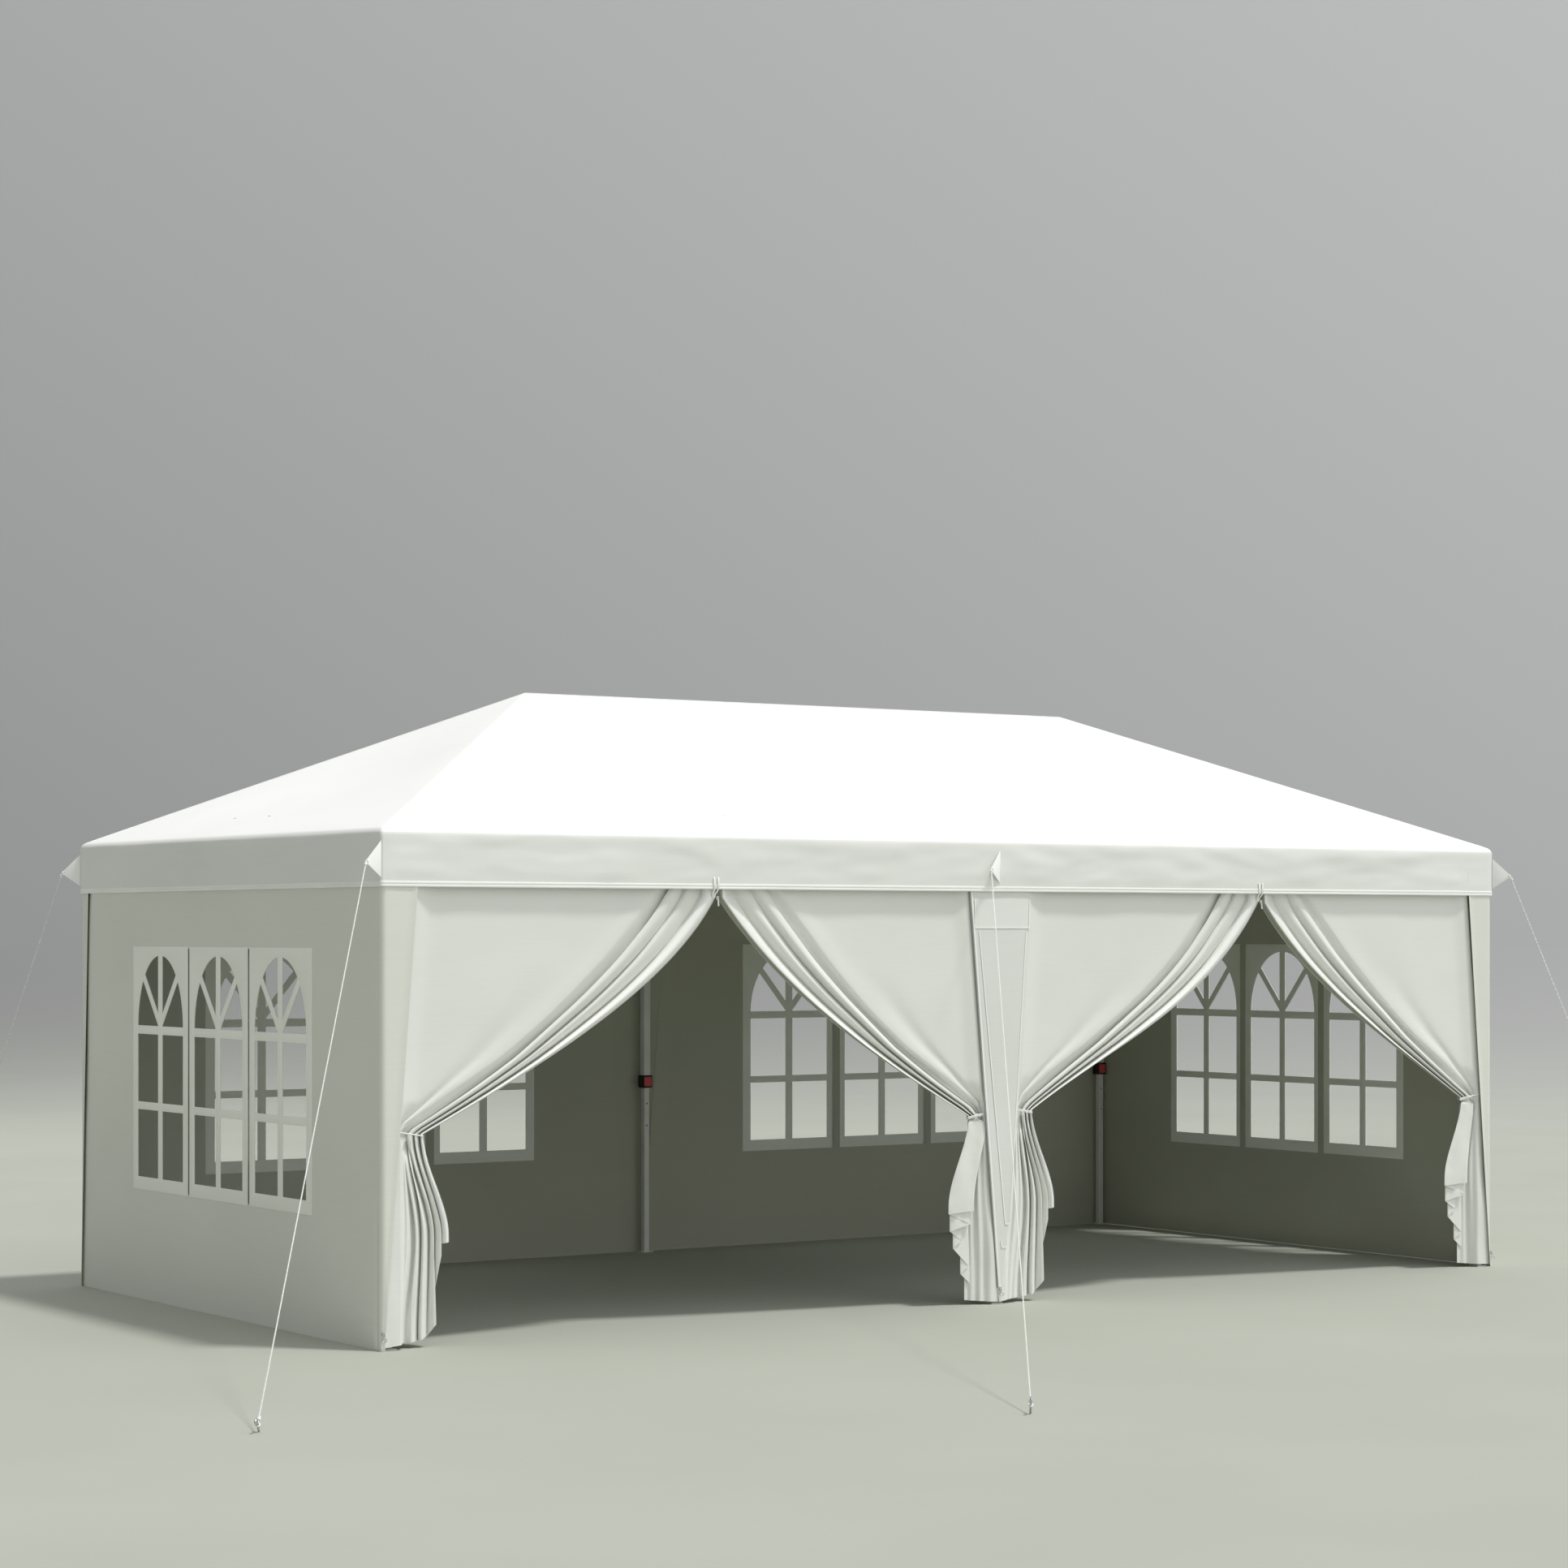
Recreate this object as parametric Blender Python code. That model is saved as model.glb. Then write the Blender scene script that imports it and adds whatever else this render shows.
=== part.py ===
"""Marquee tent: a pop-up party tent with a hipped roof, six telescopic legs,
four walls with arched windows, two doorways with tied-back curtains, and guy ropes.

Metres, +Z up. X runs along the tent, -Y is the front with the doorways.
The origin is on the ground at the middle of the tent.
"""
import math

import bpy
import bmesh
from mathutils import Vector

for old in list(bpy.data.objects):
    bpy.data.objects.remove(old, do_unlink=True)


# Canopy
TENT_LENGTH = 5.90          # outside of the valance, along X
TENT_WIDTH = 2.92           # outside of the valance, along Y
VALANCE_BOTTOM = 1.757      # above the ground
VALANCE_HEIGHT = 0.219      # up to where the roof's slope meets the valance's face
ROOF_RISE = 0.654           # from there to the ridge
EAVE_RADIUS = 0.035
EAVE_STEPS = 4
CANOPY_CLOTH = 0.003

# Guy tabs on the valance, and the ropes and pegs
TAB_RISE = 0.036            # from the valance's bottom to a tab's
TAB_DROP = 0.046            # from the valance's top to a tab's
TAB_TIP_RISE = 0.057        # from a tab's bottom to its tip
TAB_TIP = 0.004             # height of the blunt tip
TAB_REACH = 0.085
TAB_LOOP = 0.006            # level stretch at the tip, where the rope is tied
TAB_CLOTH = 0.002
ROPE_DIAMETER = 0.006
PEG_DIAMETER = 0.008
PEG_HEIGHT = 0.060          # along the peg, above the ground
PEG_GRIP = 0.035            # where the rope holds the peg
PEG_HOOK = 0.010            # radius of the bent head
PEG_BEND = 168              # degrees that the head turns
PEG_BEND_STEPS = 6
LONG_PEG = Vector((1.27, 1.62))     # from a corner, out along X and Y
SHORT_PEG = Vector((0.42, 0.66))
MIDDLE_PEG = Vector((-1.94, 2.67))  # along X and out, from the middle tab

# Walls, strips and curtains
WALL_CLOTH = 0.003
WALL_BOTTOM = 0.010
WALL_DROP = 0.076           # from the valance's top to a wall's, which hangs behind it
WINDOW_WIDTH = 0.473
WINDOW_BOTTOM = 0.529
WINDOW_TOP = 1.486
ARCH_RISE = 0.304           # of the half ellipse that heads a window
WINDOW_PITCH = 0.584
WINDOW_COUNT = 3
ARCH_STEPS = 12
VINYL = 0.001
VINYL_LAP = 0.050           # how far the vinyl passes the windows' edges
STRIP_FOOT = 0.013          # a leg strip's width at the ground
FRONT_STRIP_HEAD = 0.165    # its width at the wall's top, on a front corner
BACK_STRIP_HEAD = 0.098     # on a back corner
MIDDLE_STRIP_HEAD = 0.178   # on each side of a middle leg
CURTAIN_SET_BACK = 0.020    # from a strip's face to the curtain that hangs beside it
CURTAIN_CLOTH = 0.0115      # depth of the folds where a curtain hangs nearly flat
FOLD_STEP = 0.0002          # how much thinner it is beside its leg
FOOT_CLEARANCE = 0.010      # between a curtain's folds and the leg's foot
CURTAIN_DROP = 0.032        # from the valance's bottom to where the free edges part
CURTAIN_TIE = 0.813         # height of the cord that ties a curtain back
TIE_REACH = 0.090           # width of the gathered curtain at the tie
TIE_DEPTH = 0.050
TAIL_REACH = 0.205          # width of the flared tail
TAIL_HEIGHT = 0.400         # where the tail is widest
TAIL_FOOT_REACH = 0.150
EDGE_BOW = 0.31             # how much the free edge steepens towards its head
DOOR_GAP = 0.012            # between two curtains at their heads

# Legs
LEG_INSET = 0.050           # from the valance's outer face to a leg's centre
OUTER_TUBE = 0.038
INNER_TUBE = 0.030
TUBE_WALL = 0.002
TUBE_RADIUS = 0.004
COLLAR = 0.050              # lock collar at the foot of an outer tube
COLLAR_BOTTOM = 0.815
COLLAR_HEIGHT = 0.060
COLLAR_LIP = 0.010          # the throat that guides the inner tube
LEG_OVERLAP = 0.300         # inner tube inside the outer one
LOCK_HEIGHT = 0.845         # the lock pin
LOCK_PITCH = 0.109
LOCK_HOLE = 0.009
SPARE_HOLES = 2
FOOT = 0.060
FOOT_PLATE = 0.004

# Scissor trusses and peak frames
TRUSS_DROP = 0.041          # from the valance's top to the upper pivots
TRUSS_HEIGHT = 0.100        # between upper and lower pivots
BAR_WIDTH = 0.022
BAR_DEPTH = 0.012
CROSSING_DEPTH = 0.0102     # of the bar that crosses it
LUG_WIDTH = 0.028           # pivot lugs at the ends of the bars
LUG_DEPTH = 0.014
POST = 0.032
PEAK_CAP = 0.060
PEAK_CAP_EDGE = 0.012
PEAK_TIP = 0.004            # flat top of the cap
CAP_STEEPNESS = 1.15        # the cap's slope against the roof's

SEAT = 0.0003               # between two pieces that touch
SLIDE = 0.0005              # round a tube that slides

half_length = TENT_LENGTH / 2
half_width = TENT_WIDTH / 2
peak_x = half_length - half_width
eave_height = VALANCE_BOTTOM + VALANCE_HEIGHT
ridge_height = eave_height + ROOF_RISE
pitch = math.atan2(ROOF_RISE, half_width)
wall_inset = CANOPY_CLOTH + SEAT
wall_top = eave_height - WALL_DROP
tab_top = eave_height - TAB_DROP
tab_bottom = VALANCE_BOTTOM + TAB_RISE
tab_tip_height = tab_bottom + TAB_TIP_RISE
curtain_head = VALANCE_BOTTOM - CURTAIN_DROP
truss_top = eave_height - TRUSS_DROP
truss_bottom = truss_top - TRUSS_HEIGHT
leg_x = half_length - LEG_INSET
leg_y = half_width - LEG_INSET


def material(name, colour, roughness, metallic=0.0):
    made = bpy.data.materials.new(name)
    made.use_nodes = True
    shader = made.node_tree.nodes["Principled BSDF"]
    shader.inputs["Base Color"].default_value = (*colour, 1.0)
    shader.inputs["Roughness"].default_value = roughness
    shader.inputs["Metallic"].default_value = metallic
    return made


CLOTH = material("white_cloth", (0.80, 0.81, 0.77), 0.75)
CLEAR_VINYL = material("clear_vinyl", (0.70, 0.74, 0.70), 0.15)
WHITE_STEEL = material("white_painted_steel", (0.82, 0.82, 0.80), 0.40)
GALVANISED = material("galvanised_steel", (0.55, 0.56, 0.57), 0.35, 1.0)
ROPE = material("white_rope", (0.85, 0.85, 0.82), 0.80)


def add(name, points, faces, finish):
    """One closed solid from points and faces, with every face turned outwards."""
    mesh = bpy.data.meshes.new(name)
    mesh.from_pydata([tuple(point) for point in points], [], faces)
    work = bmesh.new()
    work.from_mesh(mesh)
    bmesh.ops.recalc_face_normals(work, faces=work.faces)
    work.to_mesh(mesh)
    work.free()
    mesh.materials.append(finish)
    made = bpy.data.objects.new(name, mesh)
    bpy.context.scene.collection.objects.link(made)
    return made


def loft(name, rings, finish, closed=False):
    """A skin over rings of points: capped at its ends, or closed on itself."""
    count = len(rings[0])
    points = [point for ring in rings for point in ring]
    faces = []
    pairs = [(index, index + 1) for index in range(len(rings) - 1)]
    if closed:
        pairs.append((len(rings) - 1, 0))
    else:
        faces.append(list(range(count)))
        faces.append([(len(rings) - 1) * count + index for index in range(count)])
    for low, high in pairs:
        for index in range(count):
            after = (index + 1) % count
            faces.append([low * count + index, low * count + after,
                          high * count + after, high * count + index])
    return add(name, points, faces, finish)


def bar(name, start, end, width, depth, finish):
    """A straight bar in a vertical plane: width lies in the plane, depth across it."""
    along = (end - start).normalized()
    across = Vector((along.y, -along.x, 0.0)).normalized()
    upward = across.cross(along)
    rings = [[centre + across * (depth / 2) * a + upward * (width / 2) * b
              for a, b in ((-1, -1), (1, -1), (1, 1), (-1, 1))] for centre in (start, end)]
    return loft(name, rings, finish)


def rod(name, path, radius, finish, sides=8, level_start=False):
    """A round rod along a path that lies in one vertical plane."""
    flat = path[-1] - path[0]
    across = Vector((flat.y, -flat.x, 0.0)).normalized()
    rings = []
    for index, point in enumerate(path):
        before = path[max(index - 1, 0)]
        after = path[min(index + 1, len(path) - 1)]
        along = (after - before).normalized()
        upward = across.cross(along)
        ring = []
        for side in range(sides):
            angle = 2 * math.pi * side / sides
            offset = (across * math.cos(angle) + upward * math.sin(angle)) * radius
            if index == 0 and level_start:
                offset -= along * (offset.z / along.z)
            ring.append(point + offset)
        rings.append(ring)
    return loft(name, rings, finish)


def cut_or_fuse(host, tool, operation):
    tool.hide_render = True
    tool.display_type = "WIRE"
    step = host.modifiers.new(operation.lower() + "_" + tool.name, "BOOLEAN")
    step.operation = operation
    step.object = tool
    step.solver = "EXACT"


def fuse(host, *tools):
    for tool in tools:
        cut_or_fuse(host, tool, "UNION")
    return host


# Canopy: the valance, the rounded eave and four slopes of one pitch, as one shell
def canopy_profile(depth):
    """(inset, height) points from the valance's hem to the ridge, depth inside the cloth."""
    turn = math.pi / 2 - pitch
    tangent = EAVE_RADIUS * math.tan(turn / 2)
    centre = (EAVE_RADIUS, eave_height - tangent)
    radius = EAVE_RADIUS - depth
    points = [(depth, VALANCE_BOTTOM)]
    for step in range(EAVE_STEPS + 1):
        angle = turn * step / EAVE_STEPS
        points.append((centre[0] - radius * math.cos(angle),
                       centre[1] + radius * math.sin(angle)))
    points.append((half_width, ridge_height - depth / math.cos(pitch)))
    return points


def roof_underside(inset):
    """Height of the cloth's inner face, that far in from the valance's outer face."""
    return eave_height + inset * math.tan(pitch) - CANOPY_CLOTH / math.cos(pitch)


def guy_tab(name, corner, heading):
    """A triangle of cloth standing out from the valance, and its tip."""
    out = Vector((math.cos(heading), math.sin(heading), 0.0))
    side = Vector((out.y, -out.x, 0.0)) * (TAB_CLOTH / 2)
    tip = corner + out * TAB_REACH
    loop = tip - out * TAB_LOOP
    low = tab_tip_height - TAB_TIP / 2
    high = tab_tip_height + TAB_TIP / 2
    outline = [(corner, tab_bottom), (loop, low), (tip, low), (tip, high), (loop, high),
               (corner, tab_top)]
    rings = [[Vector((place.x, place.y, height)) + side * turn for place, height in outline]
             for turn in (-1, 1)]
    tab = loft(name, rings, CLOTH)
    return tab, Vector((tip.x, tip.y, tab_tip_height))


def make_canopy():
    outer = canopy_profile(0.0)
    inner = canopy_profile(CANOPY_CLOTH)
    points = []
    faces = []
    starts = []
    for skin in (outer, inner):
        first = []
        for inset, height in skin[:-1]:
            first.append(len(points))
            x, y = half_length - inset, half_width - inset
            points += [(-x, -y, height), (x, -y, height), (x, y, height), (-x, y, height)]
        ridge = len(points)
        points += [(-peak_x, 0.0, skin[-1][1]), (peak_x, 0.0, skin[-1][1])]
        for low, high in zip(first, first[1:]):
            for side in range(4):
                after = (side + 1) % 4
                faces.append([low + side, low + after, high + after, high + side])
        top = first[-1]
        faces += [[top, top + 1, ridge + 1, ridge], [top + 2, top + 3, ridge, ridge + 1],
                  [top + 1, top + 2, ridge + 1], [top + 3, top, ridge]]
        starts.append(first[0])
    for side in range(4):
        after = (side + 1) % 4
        faces.append([starts[0] + side, starts[0] + after, starts[1] + after, starts[1] + side])
    return add("canopy", points, faces, CLOTH)


canopy = make_canopy()

# Each tab: its name, its place on the valance in halves of the tent, its heading in
# degrees, and where its peg stands from it. Opposite tabs are alike through the centre.
GUYS = [
    ("front_left", (-1, -1), 200, LONG_PEG),
    ("front_middle", (0, -1), 222, MIDDLE_PEG),
    ("front_right", (1, -1), 318, SHORT_PEG),
    ("back_right", (1, 1), 20, LONG_PEG),
    ("back_middle", (0, 1), 42, MIDDLE_PEG),
    ("back_left", (-1, 1), 138, SHORT_PEG),
]
tab_root = CANOPY_CLOTH / 2

for name, (along, across), heading, offset in GUYS:
    root = Vector((along * (half_length - tab_root), across * (half_width - tab_root), 0.0))
    tab, tip = guy_tab(name + "_tab", root, math.radians(heading))
    fuse(canopy, tab)
    outward = along if along else -across
    ground = Vector((along * half_length + outward * offset.x,
                     across * (half_width + offset.y), 0.0))
    pull = (ground - tip).normalized()
    flat = Vector((pull.x, pull.y, 0.0)).normalized()
    lean = Vector((flat.x * -pull.z, flat.y * -pull.z, math.hypot(pull.x, pull.y)))
    grip = ground + lean * PEG_GRIP
    run = (grip - tip).normalized()
    turned = abs(run.x * math.sin(math.radians(heading)) - run.y * math.cos(math.radians(heading)))
    first = tip + run * (abs(run.z) * TAB_TIP / 2 + turned * TAB_CLOTH / 2 + SEAT)
    last = grip - run * (PEG_DIAMETER / 2 + SEAT)
    rod(name + "_guy_rope", [first, last], ROPE_DIAMETER / 2, ROPE)
    bend = ground + lean * PEG_HEIGHT
    path = [ground, bend]
    for step in range(1, PEG_BEND_STEPS + 1):
        angle = math.radians(PEG_BEND) * step / PEG_BEND_STEPS
        path.append(bend + (lean * math.sin(angle) + pull * (1 - math.cos(angle))) * PEG_HOOK)
    rod(name + "_peg", path, PEG_DIAMETER / 2, GALVANISED, level_start=True)


# Walls: each is one sheet with a strip that turns the corner and covers a leg
def strip_width(height, head):
    """A leg strip's width at a height: it narrows from head, at the wall's top, to its foot."""
    return STRIP_FOOT + (head - STRIP_FOOT) * height / wall_top


def wall_ring(frame, height, near, far, return_head):
    """An L in plan: the wall from near to far, and its strip round the corner at near."""
    outer = wall_inset
    inner = wall_inset + WALL_CLOTH
    strip = outer + strip_width(height, return_head)
    plan = [(far, outer), (outer, outer), (outer, strip), (inner, strip),
            (inner, inner), (far, inner)]
    return [frame(along, depth, height) for along, depth in plan]


def arch_outline(centre):
    """(along, height) points round a window's opening: upright sides under half an ellipse."""
    reach = WINDOW_WIDTH / 2
    outline = [(centre - reach, WINDOW_BOTTOM), (centre + reach, WINDOW_BOTTOM)]
    for step in range(ARCH_STEPS + 1):
        angle = math.pi * step / ARCH_STEPS
        outline.append((centre + reach * math.cos(angle),
                        WINDOW_TOP - ARCH_RISE * (1 - math.sin(angle))))
    return outline


def make_wall(name, frame, span, return_head, far_head):
    """A wall that starts at its corner with a strip and ends beside the next strip.

    frame(along, depth, height) places a point: along the wall from its corner, and
    inwards from the valance's outer face. span is the length of the valance it hangs from.
    """
    rings = []
    for height in (WALL_BOTTOM, wall_top):
        far = span - strip_width(height, far_head) - wall_inset - SEAT
        rings.append(wall_ring(frame, height, 0.0, far, return_head))
    wall = loft(name, rings, CLOTH)
    for index in range(WINDOW_COUNT):
        centre = span / 2 + (index - (WINDOW_COUNT - 1) / 2) * WINDOW_PITCH
        outline = arch_outline(centre)
        cutter = loft(name + "_window_cutter_" + str(index + 1),
                      [[frame(along, depth, height) for along, height in outline]
                       for depth in (wall_inset - WALL_CLOTH, wall_inset + 2 * WALL_CLOTH)], CLOTH)
        cut_or_fuse(wall, cutter, "DIFFERENCE")
    reach = (WINDOW_COUNT - 1) / 2 * WINDOW_PITCH + WINDOW_WIDTH / 2 + VINYL_LAP
    behind = wall_inset + WALL_CLOTH + SEAT
    corners = [(span / 2 - reach, behind), (span / 2 + reach, behind),
               (span / 2 + reach, behind + VINYL), (span / 2 - reach, behind + VINYL)]
    loft(name.replace("wall", "window_vinyl"),
         [[frame(along, depth, height) for along, depth in corners]
          for height in (WINDOW_BOTTOM - VINYL_LAP, WINDOW_TOP + VINYL_LAP)], CLEAR_VINYL)
    return wall


def left_frame(along, depth, height):
    return (-half_length + depth, -half_width + along, height)


def right_frame(along, depth, height):
    return (half_length - depth, -half_width + along, height)


def back_left_frame(along, depth, height):
    return (-half_length + along, half_width - depth, height)


def back_right_frame(along, depth, height):
    return (half_length - along, half_width - depth, height)


make_wall("left_end_wall", left_frame, TENT_WIDTH, FRONT_STRIP_HEAD, BACK_STRIP_HEAD)
make_wall("right_end_wall", right_frame, TENT_WIDTH, FRONT_STRIP_HEAD, BACK_STRIP_HEAD)
make_wall("back_left_wall", back_left_frame, half_length, BACK_STRIP_HEAD, MIDDLE_STRIP_HEAD)
make_wall("back_right_wall", back_right_frame, half_length, BACK_STRIP_HEAD, MIDDLE_STRIP_HEAD)

for name, side in (("front", -1), ("back", 1)):
    outer = side * (half_width - wall_inset)
    inner = outer - side * WALL_CLOTH
    rings = []
    for height in (WALL_BOTTOM, wall_top):
        reach = strip_width(height, MIDDLE_STRIP_HEAD)
        rings.append([(-reach, outer, height), (reach, outer, height),
                      (reach, inner, height), (-reach, inner, height)])
    loft(name + "_middle_strip", rings, CLOTH)


# Curtains: gathered at the tie, flat at the head, flared below the tie
def curtain_levels():
    """(height, share of the doorway's half, depth) down a curtain's free edge."""
    levels = [(wall_top, 1.0, CURTAIN_CLOTH)]
    drop = curtain_head - CURTAIN_TIE
    for step in range(10):
        share = 1.0 - step / 10
        height = CURTAIN_TIE + drop * ((1 - EDGE_BOW) * share + EDGE_BOW * share ** 5)
        depth = CURTAIN_CLOTH + (TIE_DEPTH - CURTAIN_CLOTH) * (1 - share) ** 2
        levels.append((height, share, depth))
    return levels


def make_curtain(name, leg, side, head, leg_offset):
    """leg is the X of the strip's origin, side the way the curtain runs from it."""
    shift = wall_inset * bool(leg)
    door = half_length / 2 - DOOR_GAP / 2
    knee = leg_offset + FOOT / 2 + FOOT_CLEARANCE
    hem = CURTAIN_CLOTH - FOLD_STEP
    tie_edge = shift + strip_width(CURTAIN_TIE, head) + SEAT + TIE_REACH
    sections = [(height, tie_edge + (door - tie_edge) * share, depth)
                for height, share, depth in curtain_levels()]
    sections.append((CURTAIN_TIE, tie_edge, TIE_DEPTH))
    for height, reach in ((TAIL_HEIGHT, TAIL_REACH), (WALL_BOTTOM, TAIL_FOOT_REACH)):
        sections.append((height, shift + strip_width(height, head) + reach, TIE_DEPTH))
    rings = []
    for height, free, depth in sections:
        start = shift + strip_width(height, head) + SEAT
        bend = max(knee, start + CURTAIN_CLOTH)
        face = CURTAIN_SET_BACK
        fold = bend + face
        plan = [(start, 0.0), (bend, 0.0), (fold, face), (free, face), (free, face + depth),
                (fold, face + depth), (bend, hem), (start, hem)]
        rings.append([(leg + side * along, -half_width + wall_inset + inward, height)
                      for along, inward in plan])
    return loft(name, rings, CLOTH)


make_curtain("left_door_left_curtain", -half_length, 1, FRONT_STRIP_HEAD, LEG_INSET)
make_curtain("left_door_right_curtain", 0.0, -1, MIDDLE_STRIP_HEAD, 0.0)
make_curtain("right_door_left_curtain", 0.0, 1, MIDDLE_STRIP_HEAD, 0.0)
make_curtain("right_door_right_curtain", half_length, -1, FRONT_STRIP_HEAD, LEG_INSET)


# Legs: a thin tube with a foot slides in a thick one with a lock collar
def rounded_square(size, radius, centre, height):
    ring = []
    for quarter in range(4):
        for step in range(3):
            angle = math.pi / 2 * (quarter + step / 2)
            turn = math.pi / 2 * quarter + math.pi / 4
            corner_x = math.copysign(size / 2 - radius, math.cos(turn))
            corner_y = math.copysign(size / 2 - radius, math.sin(turn))
            ring.append((centre[0] + corner_x + radius * math.cos(angle),
                         centre[1] + corner_y + radius * math.sin(angle), height))
    return ring


def make_leg(name, centre, inward):
    seat = COLLAR_BOTTOM + COLLAR_LIP
    collar_top = COLLAR_BOTTOM + COLLAR_HEIGHT
    throat = INNER_TUBE + 2 * SLIDE
    bore = OUTER_TUBE - 2 * TUBE_WALL
    top = roof_underside(LEG_INSET - OUTER_TUBE / 2) - SEAT
    outer = [(COLLAR, COLLAR_BOTTOM), (COLLAR, collar_top), (OUTER_TUBE, collar_top),
             (OUTER_TUBE, top), (bore, top), (bore, seat), (throat, seat),
             (throat, COLLAR_BOTTOM)]
    loft(name + "_leg_outer",
         [rounded_square(size, TUBE_RADIUS, centre, height) for size, height in outer],
         WHITE_STEEL, closed=True)
    inner_bore = INNER_TUBE - 2 * TUBE_WALL
    inner_top = seat + LEG_OVERLAP
    inner = [(FOOT, 0.0), (FOOT, FOOT_PLATE), (INNER_TUBE, FOOT_PLATE),
             (INNER_TUBE, inner_top), (inner_bore, inner_top), (inner_bore, FOOT_PLATE)]
    tube = loft(name + "_leg_inner",
                [rounded_square(size, TUBE_RADIUS, centre, height) for size, height in inner],
                WHITE_STEEL)
    for index in range(1, SPARE_HOLES + 1):
        height = LOCK_HEIGHT - index * LOCK_PITCH
        face = centre[1] + inward * INNER_TUBE / 2
        rings = []
        for depth in (TUBE_WALL, -2 * TUBE_WALL):
            rings.append([(centre[0] + LOCK_HOLE / 2 * math.cos(math.pi * side / 6),
                           face + inward * depth,
                           height + LOCK_HOLE / 2 * math.sin(math.pi * side / 6))
                          for side in range(12)])
        hole = loft(name + "_lock_hole_" + str(index), rings, WHITE_STEEL)
        cut_or_fuse(tube, hole, "DIFFERENCE")


LEGS = [("front_left", -1, -1), ("front_middle", 0, -1), ("front_right", 1, -1),
        ("back_left", -1, 1), ("back_middle", 0, 1), ("back_right", 1, 1)]
for name, along, across in LEGS:
    make_leg(name, (along * leg_x, across * leg_y), -across)


# Scissor trusses between the legs: two crosses each, fused at their pivots
def make_truss(name, start, middle, end):
    """start, middle and end are plan points; the bars cross between each two."""
    run = (end - start).normalized()
    gap = OUTER_TUBE / 2 + SEAT
    first = start + run * gap
    last = end - run * gap
    lug = BAR_WIDTH
    parts = []
    for side, (one, two) in enumerate(((first + run * lug / 2, middle),
                                       (middle, last - run * lug / 2))):
        for low, high in ((truss_bottom, truss_top), (truss_top, truss_bottom)):
            depth = BAR_DEPTH if low < high else CROSSING_DEPTH
            parts.append(bar(name + "_bar_" + str(len(parts)),
                             Vector((one.x, one.y, low)), Vector((two.x, two.y, high)),
                             BAR_WIDTH, depth, WHITE_STEEL))
    for place in (first, last - run * lug):
        for height in (truss_bottom, truss_top):
            parts.append(bar(name + "_lug_" + str(len(parts)),
                             Vector((place.x, place.y, height)),
                             Vector((place.x + run.x * lug, place.y + run.y * lug, height)),
                             LUG_WIDTH, LUG_DEPTH, WHITE_STEEL))
    for height in (truss_bottom, truss_top):
        reach = run * (lug / 2)
        parts.append(bar(name + "_pivot_" + str(len(parts)),
                         Vector((middle.x - reach.x, middle.y - reach.y, height)),
                         Vector((middle.x + reach.x, middle.y + reach.y, height)),
                         LUG_WIDTH, LUG_DEPTH, WHITE_STEEL))
    host = fuse(parts[0], *parts[1:])
    host.name = name
    return host


for side, across in (("front", -1), ("back", 1)):
    y = across * leg_y
    make_truss(side + "_left_truss", Vector((-leg_x, y)), Vector((-peak_x, y)), Vector((0.0, y)))
    make_truss(side + "_right_truss", Vector((0.0, y)), Vector((peak_x, y)), Vector((leg_x, y)))
for side, x in (("left_end", -leg_x), ("right_end", leg_x), ("middle", 0.0)):
    make_truss(side + "_truss", Vector((x, -leg_y)), Vector((x, 0.0)), Vector((x, leg_y)))


# Peak frames: a post under each end of the ridge, with four scissor arms
def make_peak_frame(name, x):
    slope = math.tan(pitch) * CAP_STEEPNESS
    cap_top = ridge_height - CANOPY_CLOTH / math.cos(pitch) - slope * PEAK_TIP / 2 - SEAT
    cap_edge = cap_top - slope * PEAK_CAP / 2
    profile = [(POST, truss_bottom - LUG_WIDTH / 2),(POST, cap_edge - PEAK_CAP_EDGE * 2),
               (PEAK_CAP, cap_edge - PEAK_CAP_EDGE), (PEAK_CAP, cap_edge),
               (PEAK_TIP, cap_top)]
    sides = 12
    rings = [[(x + size / 2 * math.cos(2 * math.pi * side / sides),
               size / 2 * math.sin(2 * math.pi * side / sides), height) for side in range(sides)]
             for size, height in profile]
    post = loft(name, rings, WHITE_STEEL)
    clear = LUG_DEPTH / 2 + SEAT
    centre = Vector((x, 0.0))
    inner_x = math.copysign(clear, x)
    outer_x = math.copysign(leg_x - clear, x)
    ends = [Vector((inner_x, 0.0)), Vector((outer_x, 0.0)),
            Vector((x, leg_y - clear)), Vector((x, clear - leg_y))]
    lug = BAR_WIDTH
    for number, end in enumerate(ends):
        run = (end - centre).normalized()
        for low, high in ((truss_bottom, truss_top), (truss_top, truss_bottom)):
            depth = BAR_DEPTH if low < high else CROSSING_DEPTH
            tail = end - run * (lug / 2)
            fuse(post, bar(name + "_arm_" + str(number) + ("a" if low < high else "b"),
                           Vector((centre.x, centre.y, low)), Vector((tail.x, tail.y, high)),
                           BAR_WIDTH, depth, WHITE_STEEL))
        for height in (truss_bottom, truss_top):
            back = end - run * lug
            fuse(post, bar(name + "_lug_" + str(number) + "_" + str(height),
                           Vector((back.x, back.y, height)), Vector((end.x, end.y, height)),
                           LUG_WIDTH, LUG_DEPTH, WHITE_STEEL))
    return post


make_peak_frame("left_peak_frame", -peak_x)
make_peak_frame("right_peak_frame", peak_x)
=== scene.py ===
import math

import bmesh
import bpy
import numpy as np
from mathutils import Matrix, Vector, noise
from mathutils.geometry import convex_hull_2d


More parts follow.
